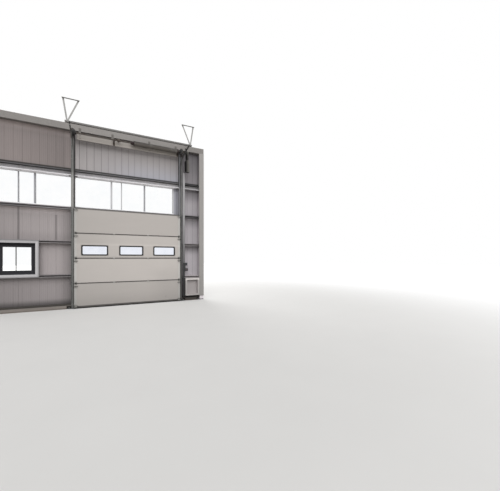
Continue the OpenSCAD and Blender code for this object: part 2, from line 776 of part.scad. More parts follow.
// Steel angles on the posts that carry the upright tracks
angle_t = 3;
angle_leg = 37;
angle_in = 5;
angle_x = track_x + track_w;
flag_down = 150;
module track_angles() color("silver") both_sides()
    translate([0, 0, plate_t]) linear_extrude(bend_z - flag_down - plate_t) {
        translate([angle_x, roller_y - track_d / 2 + angle_in])
            square([angle_t, steel_y0 - roller_y + track_d / 2 - angle_in]);
        translate([angle_x, steel_y0 - angle_t]) square([angle_leg, angle_t]);
    }

// Back bar across the ends of the upper tracks
back_y = leaf_y0 - back_reach;
back_rise = (bend_y + bend_r * sin(track_slope) - back_y) * tan(track_slope);
back_z = bend_z + bend_r * cos(track_slope) + back_rise + track_d / 2 / cos(track_slope) + seat;
back_w = 40;
back_d = 70;
back_t = 4;
back_past = 130;
module back_bar() color("lightgray")
    along_x(door_x - leaf_half - back_past, door_x + leaf_half + back_past)
        translate([back_y, back_z]) {
            square([back_d, back_t]);
            square([back_t, back_w]);
        }

// V-shaped hangers from the back bar up to a roof purlin
hanger_rise = 600;
hanger_top = 400;
hanger_w = 40;
hanger_t = 5;
hanger_foot_x = track_x + 60;
hanger_legs = [-250, 90];
hanger_mid = hanger_foot_x + (hanger_legs[0] + hanger_legs[1]) / 2;
hanger_plate = 50;
hanger_bolt = 200;
hanger_hole_r = 6.5;
module track_hangers() color("lightgray") both_sides() {
    y1 = back_y - seat;
    translate([0, y1, back_z]) rotate([90, 0, 0]) linear_extrude(hanger_t)
        for (dx = hanger_legs)
            polygon([[hanger_foot_x - hanger_w / 2, 0], [hanger_foot_x + hanger_w / 2, 0],
                     [hanger_foot_x + dx + hanger_w / 2, hanger_rise],
                     [hanger_foot_x + dx - hanger_w / 2, hanger_rise]]);
    difference() {
        block(hanger_mid - hanger_top / 2, hanger_mid + hanger_top / 2, y1 - hanger_plate, y1,
              back_z + hanger_rise, back_z + hanger_rise + hanger_t);
        for (s = [-1, 1])
            translate([hanger_mid + s * hanger_bolt / 2, y1 - hanger_plate / 2 - hanger_t / 2,
                       back_z + hanger_rise - cut])
                cylinder(h = hanger_t + 2 * cut, r = hanger_hole_r);
    }
}

// Header rail behind the shaft, hung from the eaves beam by straps
strap_t = 4;
strap_w = 60;
strap_x = 550;
header_t = 40;
header_past = 65;
header_up = 35;
header_half = leaf_half - header_past;
strap_end = header_half - 80;
header_z = shaft_z + header_up - header_h;
header_y0 = steel_y0 - strap_t - header_t;
module header_rail() color("lightgray") {
    along_x(at(-header_half), at(header_half)) translate([header_y0, header_z])
        channel_outline(header_h, header_t, rail_t, 0);
    for (x = [-strap_end, -strap_x, strap_x, strap_end])
        block(at(x) - strap_w / 2, at(x) + strap_w / 2, steel_y0 - strap_t, steel_y0 - seat,
              header_z, eaves_h - eaves_beam_h / 2);
}

// Shaft in two lengths, joined by a coupling of two flanged halves beside the middle bearing
shaft_past = 45;
op_x = leaf_half + op_reach;
shaft_joint = 2;
coupling_len = 50;
coupling_r = 34;
coupling_flange = 55;
coupling_t = 12;
module lift_shaft() {
    color("silver") for (span = [[-leaf_half - 2 * shaft_past, coupling_x - shaft_joint / 2],
                                 [coupling_x + shaft_joint / 2, op_x + shaft_past]])
        rod_x(at(span[0]), at(span[1]), shaft_y, shaft_z, shaft_r);
    color("dimgray") for (way = [-1, 1])
        translate([at(coupling_x) + way * seat / 2, shaft_y, shaft_z]) rotate([0, way * 90, 0])
            rotate_extrude() polygon([[shaft_r + shaft_fit, 0], [coupling_flange, 0],
                [coupling_flange, coupling_t], [coupling_r, coupling_t],
                [coupling_r, coupling_len], [shaft_r + shaft_fit, coupling_len]]);
}

// Close-wound spring as a turned tube with a groove between its coils, its winding cone
// on the left and its fixed cone, bolted to the anchor plate, on the right
spring_gap = 120;
shaft_fit = 0.3;
spring_x1 = leaf_half - spring_gap;
spring_x0 = spring_x1 - spring_len;
coil_pitch = wire_d + 0.5;
coil_n = floor(spring_len / coil_pitch);
spring_in = spring_r - wire_d;
coupling_x = spring_x0 - bearing_gap + coupling_gap;
cone_grip = 60;
cone_len = 100;
cone_flange = 12;
cone_r = 52;
fixed_cone = 20;
winding_hole_r = 9;

module turned_x(x) translate([x, shaft_y, shaft_z]) rotate([0, 90, 0]) rotate_extrude() children();

module torsion_spring() {
    color("dimgray") turned_x(at(spring_x0)) polygon(concat(
        [[spring_in, 0]],
        [for (k = [0 : coil_n - 1]) for (p = [[spring_r - wire_d / 3, 0], [spring_r, coil_pitch / 2]])
            [p[0], p[1] + k * coil_pitch]],
        [[spring_r - wire_d / 3, coil_n * coil_pitch], [spring_r - wire_d / 3, spring_len],
         [spring_in, spring_len]]));
    color("firebrick") difference() {
        turned_x(at(spring_x0 - cone_len)) polygon([
            [shaft_r + shaft_fit, 0], [cone_r, 0], [cone_r, cone_len - cone_flange - seat],
            [spring_r, cone_len - cone_flange - seat], [spring_r, cone_len - seat],
            [spring_in - seat, cone_len - seat], [spring_in - seat, cone_len + cone_grip],
            [shaft_r + shaft_fit, cone_len + cone_grip]]);
        for (turn = [0 : 90 : 270])
            translate([at(spring_x0 - cone_len + (cone_len - cone_flange) / 2), shaft_y, shaft_z])
                rotate([turn, 0, 0]) translate([0, 0, cone_r / 2])
                    cylinder(h = cone_r, r = winding_hole_r);
    }
    color("dimgray") turned_x(at(spring_x1 - cone_grip)) polygon([
        [shaft_r + shaft_fit, 0], [spring_in - seat, 0], [spring_in - seat, cone_grip + seat],
        [spring_r + 3, cone_grip + seat], [spring_r + 3, cone_grip + fixed_cone],
        [shaft_r + shaft_fit, cone_grip + fixed_cone]]);
}

// Plates that carry the shaft: web from the bearing back to a foot, which runs from z0 to
// z1 on the steel at foot_y; the bearing's boss stands out to the left only if both is 1
bracket_t = 6;
boss_r = 28;
boss_len = 12;
foot_w = 60;
foot_t = 4;
module bearing_bracket(x, foot_y, z0, z1, both) difference() {
    union() {
        along_x(x - bracket_t / 2, x + bracket_t / 2)
            polygon([[foot_y, z0], [foot_y, z1], [shaft_y, shaft_z + boss_r + bracket_t],
                     [shaft_y - boss_r, shaft_z + boss_r / 2], [shaft_y - boss_r, shaft_z - boss_r / 2],
                     [shaft_y, shaft_z - boss_r - bracket_t]]);
        block(x - foot_w / 2, x + foot_w / 2, foot_y - foot_t, foot_y, z0, z1);
        rod_x(x - both * boss_len, x + boss_len, shaft_y, shaft_z, boss_r);
    }
    rod_x(x - foot_w, x + foot_w, shaft_y, shaft_z, shaft_r + shaft_fit);
}

anchor_x = spring_x1 + fixed_cone + seat + bracket_t / 2;
end_bearing = 60;
end_foot = 120;
module bearing_brackets() color("silver") {
    y = header_y0 - seat;
    bearing_bracket(at(spring_x0 - bearing_gap), y, header_z + rail_t, shaft_z + 30, 1);
    bearing_bracket(at(anchor_x), y, header_z + rail_t, shaft_z + 30, 0);
    for (s = [-1, 1])
        bearing_bracket(at(s * (leaf_half + end_bearing)), steel_y0 - seat, shaft_z - end_foot,
                        eaves_h - eaves_beam_h + end_foot / 2, 1);
}

// Tapered drum with a groove for each turn of cable, widest over the cable
drum_x = leaf_half + 15;
drum_end = 20;
drum_rim = 6;
drum_taper = 0.6;
rim_t = 4;
groove_gap = 6;
groove_cut = 1.5;
drum_hub_r = 45;
drum_floor = drum_r - cable_r - 2 * seat;
drum_turns = floor((drum_w - drum_end - rim_t - drum_hub_r / 2) / groove_gap);
module cable_drums() color("dimgray") both_sides()
    turned_x(drum_x + drum_end) mirror([0, 1]) polygon(concat(
        [[shaft_r + shaft_fit, 0], [drum_r + drum_rim, 0], [drum_r + drum_rim, rim_t]],
        [for (k = [0 : drum_turns]) let (u = drum_end - groove_gap + k * groove_gap)
            for (p = [[groove_cut, -groove_gap / 2], [0, 0]])
                if (u + p[1] > rim_t)
                    [drum_floor + p[0] - drum_taper * max(0, u + p[1] - drum_end), u + p[1]]],
        [[drum_hub_r + drum_rim, drum_end + drum_turns * groove_gap],
         [drum_hub_r, drum_w], [shaft_r + shaft_fit, drum_w]]));

cable_y = shaft_y + drum_r;
cable_pin_z = 90;
cable_pin_r = 5;
cable_pin_drop = 6;
module lift_cables() color("gray") both_sides() {
    z0 = cable_pin_z - cable_pin_drop + cable_pin_r + seat;
    translate([drum_x, cable_y, z0]) cylinder(h = shaft_z - z0, r = cable_r);
}

// Hinges of two leaves round a pin: x0 to x1 wide, against the plane y, about the joint
// at z, with the leaves' heights under and over it. Its children join the lower leaf.
hinge_w = 60;
hinge_t = 3;
knuckle_r = 7;
pin_r = 3.5;
pin_fit = 0.25;
module hinge(x0, x1, y, z, low, high) {
    w = (x1 - x0) / 4;
    difference() {
        union() {
            block(x0, x1, y - hinge_t, y, z - low, z - knuckle_r - seat);
            for (x = [x0, x1 - w]) {
                block(x, x + w, y - hinge_t, y, z - knuckle_r - cut, z);
                rod_x(x, x + w, y - knuckle_r, z, knuckle_r);
            }
            children();
        }
        rod_x(x0 - cut, x1 + cut, y - knuckle_r, z, pin_r + pin_fit);
    }
    difference() {
        union() {
            block(x0, x1, y - hinge_t, y, z + knuckle_r + seat, z + high);
            block(x0 + w + seat, x1 - w - seat, y - hinge_t, y, z, z + knuckle_r + cut);
            rod_x(x0 + w + seat, x1 - w - seat, y - knuckle_r, z, knuckle_r);
        }
        rod_x(x0 - cut, x1 + cut, y - knuckle_r, z, pin_r + pin_fit);
    }
    rod_x(x0, x1, y - knuckle_r, z, pin_r);
}

// Two ears that hold a roller's stem in front of the leaf's end
stem_r = 5.5;
stem_fit = 0.25;
ear_r = 14;
bracket_x0 = leaf_half - 75;
bracket_x1 = bracket_x0 + hinge_w;
plate_y = cap_y0 - seat;
module ears(z) difference() {
    for (x = [bracket_x0, bracket_x1 - hinge_t]) {
        block(x, x + hinge_t, roller_y, plate_y, z - ear_r, z + ear_r);
        rod_x(x, x + hinge_t, roller_y, z, ear_r);
    }
    rod_x(bracket_x0 - cut, bracket_x1 + cut, roller_y, z, stem_r + stem_fit);
}

side_joints = [for (n = [1 : 3]) n * section_h];
top_drop = 60;
plate_half = 50;
leaf_hinge = 45;
wrap_x0 = cap_x1 + seat;
wrap_x1 = wrap_x0 + 4;
module door_hinges() color("silver") {
    both_sides() {
        for (z = side_joints)
            hinge(bracket_x0, bracket_x1, plate_y, z, roller_drop + plate_half, hinge_w)
                ears(z - roller_drop);
        ears(leaf_h - top_drop);
        block(bracket_x0, bracket_x1, plate_y - hinge_t, plate_y, leaf_h - top_drop - plate_half,
              leaf_h - edge_bevel);
        ears(cable_pin_z);
        block(bracket_x0, wrap_x1, plate_y - hinge_t, plate_y, cable_pin_z - plate_half,
              cable_pin_z + plate_half);
        block(wrap_x0, wrap_x1, plate_y - hinge_t, leaf_y1 - edge_bevel,
              cable_pin_z - plate_half, cable_pin_z + plate_half);
        rod_x(wrap_x0, drum_x + cable_pin_r, cable_y, cable_pin_z - cable_pin_drop, cable_pin_r);
    }
    for (x = [-hinge_reach, hinge_reach], z = side_joints)
        hinge(at(x) - hinge_w / 2, at(x) + hinge_w / 2, leaf_y0 - seat, z, leaf_hinge,
              leaf_hinge);
}

// Rollers with a crowned tyre and a sunk face round the hub
wheel_w = 12;
tyre_w = 6;
wheel_x = track_x + (track_w - track_t) / 2 + 1;
roller_z = concat([cable_pin_z], [for (z = side_joints) z - roller_drop], [leaf_h - top_drop]);
module door_rollers() color("dimgray") both_sides() for (z = roller_z) {
    rod_x(bracket_x0 - 2 * ear_r, wheel_x, roller_y, z, stem_r);
    translate([wheel_x, roller_y, z]) rotate([0, 90, 0]) rotate_extrude() polygon([
        [0, -wheel_w / 2], [stem_r * 2, -wheel_w / 2], [stem_r * 2, 1 - wheel_w / 2],
        [roller_r - tyre_w, 1 - wheel_w / 2], [roller_r - tyre_w, -wheel_w / 2],
        [roller_r - 1, -wheel_w / 2], [roller_r, -wheel_w / 4], [roller_r, wheel_w / 4],
        [roller_r - 1, wheel_w / 2], [0, wheel_w / 2]]);
}

// Operator on the shaft's right end: gear housing, motor and lower case, held by a
// torque arm against the eaves beam
arm_t = 6;
arm_w = 40;
case_taper = 50;
case_top = shaft_z - gear_r - motor_len;
module operator() color("darkslategray") {
    difference() {
        union() {
            rod_x(at(op_x) - motor_r, at(op_x) + motor_r, shaft_y, shaft_z, gear_r);
            block(at(op_x) - motor_r, at(op_x) + motor_r, shaft_y - motor_r, shaft_y + motor_r,
                  shaft_z - gear_r - cut, shaft_z);
            block(at(op_x) - arm_w / 2, at(op_x) + arm_w / 2, shaft_y, steel_y0 - seat,
                  shaft_z + gear_r - 2 * arm_t, shaft_z + gear_r - arm_t);
        }
        rod_x(at(op_x) - case_w, at(op_x) + case_w, shaft_y, shaft_z, shaft_r + shaft_fit);
    }
    block(at(op_x) - arm_w / 2, at(op_x) + arm_w / 2, steel_y0 - arm_t, steel_y0 - seat,
          shaft_z + gear_r - 2 * arm_t, eaves_h - eaves_beam_h / 2);
    translate([at(op_x), shaft_y, case_top - cut])
        cylinder(h = motor_len + cut, r = motor_r);
    translate([at(op_x), shaft_y + case_d / 2, case_top]) rotate([90, 0, 0])
        linear_extrude(case_d) polygon([[-motor_r, 0], [motor_r, 0], [case_w / 2, -case_taper],
            [case_w / 2, -case_h], [-case_w / 2, -case_h], [-case_w / 2, -case_taper]]);
}

trunk_w = 80;
trunk_d = 40;
trunk_gap = 12;
trunk_lid = 3;
guard_in = 6;
trunk_x = opening_w / 2 + post_w + trunk_gap;
module trunk(z0, z1) {
    x0 = at(trunk_x);
    block(x0, x0 + trunk_w, steel_y0 - trunk_d + trunk_lid, steel_y0 - seat, z0, z1);
    block(x0 + trunk_lid, x0 + trunk_w - trunk_lid, steel_y0 - trunk_d, steel_y0 - trunk_d / 2,
          z0, z1);
}

// White trunking from the operator to the switch, and a dark steel guard under it
module cable_trunking() {
    trunk_z = switch_z + switch_h;
    color("gainsboro") trunk(trunk_z, case_top - case_h);
    color("dimgray") block(at(trunk_x) + guard_in, at(trunk_x + trunk_w), steel_y0 - trunk_d + guard_in,
                           steel_y0 - seat, kerb_h, trunk_z - seat);
}

// Push-button box under a rotary switch, fixed to the trunking's side
control_z = 1042;
control_w = 100;
control_h = 105;
control_d = 70;
control_back = 5;
link_w = 20;
switch_w = 85;
switch_h = 100;
switch_in = 20;
switch_z = 1240;
button_r = 9;
button_out = 6;
button_pitch = 30;
module button(x, y, z, r) translate([x, y, z]) rotate([90, 0, 0])
    cylinder(h = button_out + cut, r = r);

module door_control() color("dimgray") {
    x0 = at(trunk_x + trunk_w) + seat;
    y0 = steel_y0 - control_d - control_back;
    y1 = steel_y0 - control_back;
    block(x0, x0 + control_w, y0, y1, control_z, control_z + control_h);
    block(x0, x0 + switch_w, y0 + switch_in, y1, switch_z, switch_z + switch_h);
    block(x0, x0 + link_w, y1 - control_d / 2, y1, control_z + control_h - cut, switch_z + cut);
    for (k = [-1 : 1])
        button(x0 + control_w / 2, y0 + cut, control_z + control_h / 2 + k * button_pitch,
               button_r);
    button(x0 + switch_w / 2, y0 + switch_in + cut, switch_z + switch_h / 2, 3 * button_r);
}

// White framed box low on the wall beside the door
box_gap = 20;
box_top_gap = 4;
box_frame = 60;
box_out = 60;
box_recess = 40;
box_x0 = trunk_x + trunk_w + box_gap;
box_x1 = corner_reach - corner_w / 2 - trim_off - box_gap / 2;
box_z0 = 175;
box_z1 = right_low_rail - cleat_t - box_top_gap;
module wall_box() color("white") difference() {
    block(at(box_x0), at(box_x1), steel_y0 - box_out, steel_y1 - seat, box_z0, box_z1);
    block(at(box_x0) + box_frame, at(box_x1) - box_frame, steel_y0 - box_out - cut,
          steel_y0 + box_recess, box_z0 + box_frame, box_z1 - box_frame);
}

base_plates();
left_column();
left_door_post();
right_door_post();
corner_post();
corner_trim();
eaves_beam();
window_head_rails();
window_sill_rails();
upper_side_rails();
lower_side_rails();
rail_cleats();
window_trimmers();
kerbs();
left_wall_panels();
upper_left_panels();
upper_door_panels();
right_wall_panels();
outer_flashings();
strip_window_frame();
strip_window_glass();
low_window_lining();
low_window_frame();
low_window_glass();
door_section_1();
door_section_2();
door_section_3();
door_section_4();
door_light_frames();
door_light_glass();
bottom_seal();
side_seals();
door_hinges();
door_rollers();
vertical_tracks();
curved_tracks();
track_angles();
back_bar();
track_hangers();
header_rail();
lift_shaft();
torsion_spring();
bearing_brackets();
cable_drums();
lift_cables();
operator();
cable_trunking();
door_control();
wall_box();
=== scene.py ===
# %% [markdown]
# # A loading-door bay, dressed for the camera
# The built frame holds every main piece in metres, each in its true place: steel, cladding,
# windows, a door of four sections, and its tracks, spring and drums. This lesson leaves those
# pieces where they are. It gives them light and finishes, and adds the small pieces that a
# drawing leaves out, such as bolt heads, gaskets, rivets and wound wire.

# %% Load the frame
import json
import math
import bpy
import bmesh
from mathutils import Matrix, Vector

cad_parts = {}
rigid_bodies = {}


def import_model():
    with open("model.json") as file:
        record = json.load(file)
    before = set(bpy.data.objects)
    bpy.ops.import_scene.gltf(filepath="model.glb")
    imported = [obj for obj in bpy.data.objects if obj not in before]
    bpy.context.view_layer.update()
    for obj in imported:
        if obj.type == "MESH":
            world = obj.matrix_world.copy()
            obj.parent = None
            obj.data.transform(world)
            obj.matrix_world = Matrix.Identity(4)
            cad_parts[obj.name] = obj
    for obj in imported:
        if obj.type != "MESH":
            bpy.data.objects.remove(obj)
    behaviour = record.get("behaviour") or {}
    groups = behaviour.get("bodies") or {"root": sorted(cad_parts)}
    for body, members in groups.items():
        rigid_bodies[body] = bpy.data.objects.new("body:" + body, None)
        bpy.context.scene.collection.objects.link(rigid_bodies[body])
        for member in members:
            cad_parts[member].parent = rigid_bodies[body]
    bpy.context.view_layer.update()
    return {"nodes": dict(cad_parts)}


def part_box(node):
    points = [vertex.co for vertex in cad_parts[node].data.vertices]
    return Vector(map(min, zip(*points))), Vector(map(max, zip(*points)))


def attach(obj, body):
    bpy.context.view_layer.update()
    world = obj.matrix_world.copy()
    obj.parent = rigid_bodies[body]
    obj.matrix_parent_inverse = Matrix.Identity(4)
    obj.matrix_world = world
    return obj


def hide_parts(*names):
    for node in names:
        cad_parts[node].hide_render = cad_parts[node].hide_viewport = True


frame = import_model()
nodes = frame["nodes"]
link = bpy.context.scene.collection.objects.link

# %% [markdown]
# Most added pieces line up with a built one, so a short call for a node's box saves typing
# numbers twice. The door's middle is the measure that the tracks, lights and spring share.

# %% Places read from the frame
def low(node):
    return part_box(node)[0]

def high(node):
    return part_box(node)[1]

door_x = (low("door_section_1").x + high("door_section_1").x) / 2
door_l, door_r = door_x - 1.6, door_x + 1.6   # just outside the opening
leaf_half = (high("bottom_seal").x - low("bottom_seal").x) / 2
leaf_y = low("bottom_seal").y                 # room face of the leaf
room_y = low("left_door_post").y              # room face of the steel
liner_y = low("strip_window_frame").y         # inner face of the wall panels
joint_x = door_x - 2.031                      # a panel joint, from which the liner's lines count
low_joints = (door_x - 2.897, joint_x)        # the panel joints under the strip window
post_l, gap_l = low("left_door_post").x, high("left_door_post").x
gap_r, post_r = low("right_door_post").x, high("right_door_post").x
corner_x = low("corner_post").x
head_top, sill_top = high("window_head_rails").z, high("window_sill_rails").z
section_h = 0.75
lights_z0, lights_z1 = 2 * section_h, 3 * section_h
light_step, light_z = 1.030, 1.742            # the door lights' spacing and middle height
light_half, light_tall = 0.3575, 0.1555       # half their width and half their height
print("door middle", round(door_x, 3), "leaf half", round(leaf_half, 3),
      "leaf face", round(leaf_y, 3))

# %% [markdown]
# The camera comes first, because it decides what matters. The picture was taken at eye height
# with a wide lens, level, turned to the right of the wall. A small upward shift of the lens
# stands for the crop of the picture, so the uprights stay upright.

# %% Camera
camera_data = bpy.data.cameras.new("eye")
camera_data.lens = 19.704
camera_data.sensor_width = 36.0
camera_data.shift_y = 0.0249
camera_data.clip_end = 200.0
camera = bpy.data.objects.new("eye", camera_data)
camera.location = (2.819, -9.700, 1.510)
camera.rotation_euler = (math.radians(90), 0, math.radians(-28.26))
link(camera)
bpy.context.scene.camera = camera
print("camera at", tuple(round(v, 3) for v in camera.location))

# %% [markdown]
# A shader is arithmetic on fields of numbers. Node by node that is slow to read, so one small
# class wraps a socket and lets Python's own signs add the Math nodes: `1 - mask * 0.3` becomes
# two nodes. A second class adds every other kind of node by one method, and a third holds a
# material. The same two classes serve the world and the Geometry Nodes further down.

# %% Shader maths
class Value:
    """A node's socket on which Python arithmetic works."""
    def __init__(self, owner, socket):
        self.owner, self.socket = owner, socket

    def math(self, operation, *others):
        return self.owner.add("ShaderNodeMath", {"operation": operation}, [self, *others])

    def __add__(self, other):
        return self.math("ADD", other)

    def __sub__(self, other):
        return self.math("SUBTRACT", other)

    def __mul__(self, other):
        return self.math("MULTIPLY", other)

    def __truediv__(self, other):
        return self.math("DIVIDE", other)

    def __rsub__(self, other):
        return self.owner.add("ShaderNodeMath", {"operation": "SUBTRACT"}, [other, self])

    def __gt__(self, other):
        return self.math("GREATER_THAN", other)

    def __lt__(self, other):
        return self.math("LESS_THAN", other)

    def __abs__(self):
        return self.math("ABSOLUTE")

    __radd__ = __add__
    __rmul__ = __mul__

    def between(self, start, stop):
        return (self > start) * (self < stop)

    def wave(self, pitch):
        """Distance from the nearest of a row of lines, as a share of their pitch, 0 to 0.5."""
        return abs((self / pitch + 0.5).math("FRACT") - 0.5)

    def ramp(self, start, stop, before=0.0, after=1.0):
        """Goes smoothly from one number to another as the value goes from start to stop."""
        return self.owner.add("MapRange", {"interpolation_type": "SMOOTHSTEP"},
                              [self, start, stop, before, after])

    def fall(self, start, stop):
        return self.ramp(start, stop, 1.0, 0.0)


class Nodes:
    """A tree of nodes. A node is its type, its settings, and the values of its sockets."""
    prefix = "ShaderNode"

    def __init__(self, tree):
        self.tree = tree

    def feed(self, socket, value):
        if isinstance(value, Value):
            self.tree.links.new(value.socket, socket)
        else:
            socket.default_value = value

    def add(self, kind, settings=None, inputs=(), out=0):
        node = self.tree.nodes.new(kind if "Node" in kind else self.prefix + kind)
        for key, value in (settings or {}).items():
            setattr(node, key, value)
        for key, value in inputs.items() if isinstance(inputs, dict) else enumerate(inputs):
            self.feed(node.inputs[key], value)
        return Value(self, node.outputs[out])


finishes = {}

class Paint(Nodes):
    """A material with one Principled shader. Once finished it is kept by its name."""
    def __init__(self, name, sheen=0.4):
        self.name, self.material = name, bpy.data.materials.new(name)
        self.material.use_nodes = True
        super().__init__(self.material.node_tree)
        self.shader = self.tree.nodes["Principled BSDF"].inputs
        self.shader["Specular IOR Level"].default_value = sheen
        self.place = self.add("TexCoord", out="Object")
        split = self.add("SeparateXYZ", inputs=[self.place]).socket.node
        self.x, self.y, self.z = (Value(self, s) for s in split.outputs)

    def noise(self, scale, detail=2.0, rough=0.5, stretch=None):
        """Soft noise. A stretch of the place draws it out, for streaks that run down."""
        place = self.place
        if stretch:
            place = self.add("Mapping", inputs={"Vector": place, "Scale": stretch})
        return self.add("TexNoise", inputs={"Vector": place, "Scale": scale, "Detail": detail,
                                            "Roughness": rough})

    def cells(self, scale, out="Distance"):
        return self.add("TexVoronoi", inputs={"Vector": self.place, "Scale": scale}, out=out)

    def mix(self, factor, a, b, kind="MIX"):
        return self.add("Mix", {"data_type": "RGBA", "blend_type": kind},
                        {0: factor, 6: a, 7: b}, out=2)

    def shade(self, colour, amount):
        """A colour made lighter or darker by a field that is 1 where it stays."""
        grey = self.add("CombineColor", inputs=[amount, amount, amount])
        return self.mix(1.0, colour, grey, "MULTIPLY")

    def finish(self, colour, roughness, bump=None, depth=0.0, metallic=0.0):
        self.feed(self.shader["Base Color"], colour)
        self.feed(self.shader["Roughness"], roughness)
        self.feed(self.shader["Metallic"], metallic)
        if bump is not None:
            normal = self.add("Bump", inputs={"Height": bump, "Distance": depth, "Strength": 1.0})
            self.feed(self.shader["Normal"], normal)
        finishes[self.name] = self.material


def srgb(r, g, b):
    """A colour as a screen shows it, 0 to 255, as the linear numbers that a shader wants."""
    return tuple((c / 255 / 12.92) if c <= 10 else ((c / 255 + 0.055) / 1.055) ** 2.4
                 for c in (r, g, b)) + (1.0,)

def either(chosen, first, second):
    """The first value where chosen is 0, the second where it is 1."""
    return first + chosen * (second - first)

print("shader helpers ready")

# %% [markdown]
# Painted sheet is never one colour. Indoors it carries runs of old wet dirt and a faint mottle
# from rolling. The liner of a wall panel also has shallow lines pressed into it, close together,
# which show as fine uprights in grazing light. They are too fine to build, so they are a bump,
# and the material darkens them a little. The broad grooves are built. Over the door the material
# darkens them, and elsewhere they hardly show. A dark band along the top of the head rail is
# painted shade. The light and shade of the room on the wall are painted, as a list of ramps up
# the wall and across it: from where, to where, and the tone at both.

# %% Wall panels
groove_pitch = 0.195
fine_pitch = groove_pitch / 4
outer_grey = srgb(176, 178, 180)

def panel_paint(name, inner, groove_darkening=0.02, up=(), across=(), joints=(), regions=None):
    p = Paint(name, 0.35)
    pressed = (p.x - joint_x).wave(fine_pitch).ramp(0.02, 0.16)
    groove = (p.x - joint_x).wave(groove_pitch).ramp(0.018, 0.060)
    mottle = p.noise(1.3, 4.0, 0.6)
    runs = p.noise(1.0, 3.0, 0.6, (22.0, 22.0, 0.7))
    indoors = p.y.fall(liner_y + 0.012, liner_y + 0.03)
    # Painted shade: a dark band along the top of the head rail, where the rail meets the sheet.
    rail_top_shade = p.z.ramp(head_top - 0.004, head_top) * p.z.fall(head_top + 0.07, head_top + 0.10)
    dim = 1 - rail_top_shade * 0.90
    # Painted light and shade: each ramp darkens or lightens the sheet between two places.
    for axis, ramps in ((p.z, up), (p.x, across)):
        for ramp in ramps:
            dim = dim * axis.ramp(*ramp)
    for x, top in joints:
        beside = 1 - abs(p.x - x).ramp(0.014, 0.042)
        dim = dim * (1 - beside * p.z.between(2.0, top) * 0.34)
    if regions:
        dim, inner, groove_darkening = regions(p, dim, inner)
    tone = (0.90 + mottle * 0.12 + runs * 0.10) * (1 - indoors * (1 - pressed) * 0.05)
    # The broad grooves are darkened by this amount.
    tone = tone * (1 - indoors * (1 - groove) * groove_darkening)
    colour = p.mix(indoors, outer_grey, p.shade(inner, dim))
    height = pressed * indoors * 0.8 + p.noise(260.0, 2.0) * 0.05 + mottle * 0.3
    p.finish(p.shade(colour, tone), 0.42 + mottle * 0.18 + runs * 0.08, height, 0.0016)

def over_the_door(p, dim, inner):
    """High up, painted light and shade change at the left post, then beside the strip window and
    the right post. Over the door the sheet is cooler towards the right."""
    past_post = p.x > door_l
    # How much the grooves are darkened: little left of the post, more over the door.
    dust = 0.02 + past_post * p.x.ramp(2.1, 3.2, 0.48, 0.26)
    dim = dim * p.x.ramp(0.2, 2.0, 1.0, 0.80 + past_post * 0.20)
    by_door = p.x.ramp(2.2, 2.7, 1.25, 1.16) * p.x.ramp(2.06, 2.26, 1.45, 1.0)
    dim = dim * either(past_post, p.x.ramp(1.78, 1.93, 1.0, 1.35), by_door)
    by_right_post = (p.z < head_top - 0.15) * p.x.ramp(5.04, 5.13, 0.25, -0.12)
    dim = dim * (1 + by_right_post * past_post) * p.x.ramp(3.0, 4.0, 1.0, 1.07)
    cool = past_post * p.x.ramp(2.2, 4.2) * p.z.fall(4.1, 4.9)
    inner = p.mix(past_post, srgb(148, 138, 136), p.mix(cool, inner, srgb(162, 162, 170)))
    return dim, inner, dust

# Painted shade at the foot, below some rails, near the left post and high under the roof, and
# painted light just under the sill rail and the beam, where the real shadow is too dark.
panel_paint("liner_low", srgb(158, 151, 151),
            up=[(0.15, 0.34, 0.35, 1.0), (0.3, 1.0, 0.90, 1.0), (0.93, 1.03, 0.875, 1.0),
                (1.90, 1.98, 1.10, 0.88), (2.10, 2.35, 1.0, 1.136), (2.74, 2.95, 1.0, 1.7)],
            across=[(0.2, 1.6, 0.97, 1.12), (1.60, 1.97, 1.0, 0.70)],
            joints=zip(low_joints, (3.05, 2.78)))
panel_paint("liner_high", srgb(165, 160, 160), regions=over_the_door,
            up=[(3.5, 5.2, 1.0, 0.82), (3.95, 4.0, 0.72, 1.0), (5.08, 5.30, 1.0, 1.75)])
panel_paint("liner_pier", srgb(167, 162, 166), 0.20,
            up=[(0.15, 0.34, 0.5, 1.0), (1.0, 2.6, 1.16, 1.0), (1.60, 1.84, 1.0, 0.66),
                (1.90, 1.94, 1.0, 1.5), (2.52, 2.80, 1.0, 0.76), (2.86, 2.90, 1.0, 1.31),
                (3.40, 3.82, 1.05, 0.60), (4.0, 4.1, 1.0, 1.19), (4.2, 5.1, 1.0, 0.60)],
            across=[(5.35, 5.85, 1.10, 0.88)])
print("panel paints:", ", ".join(finishes))
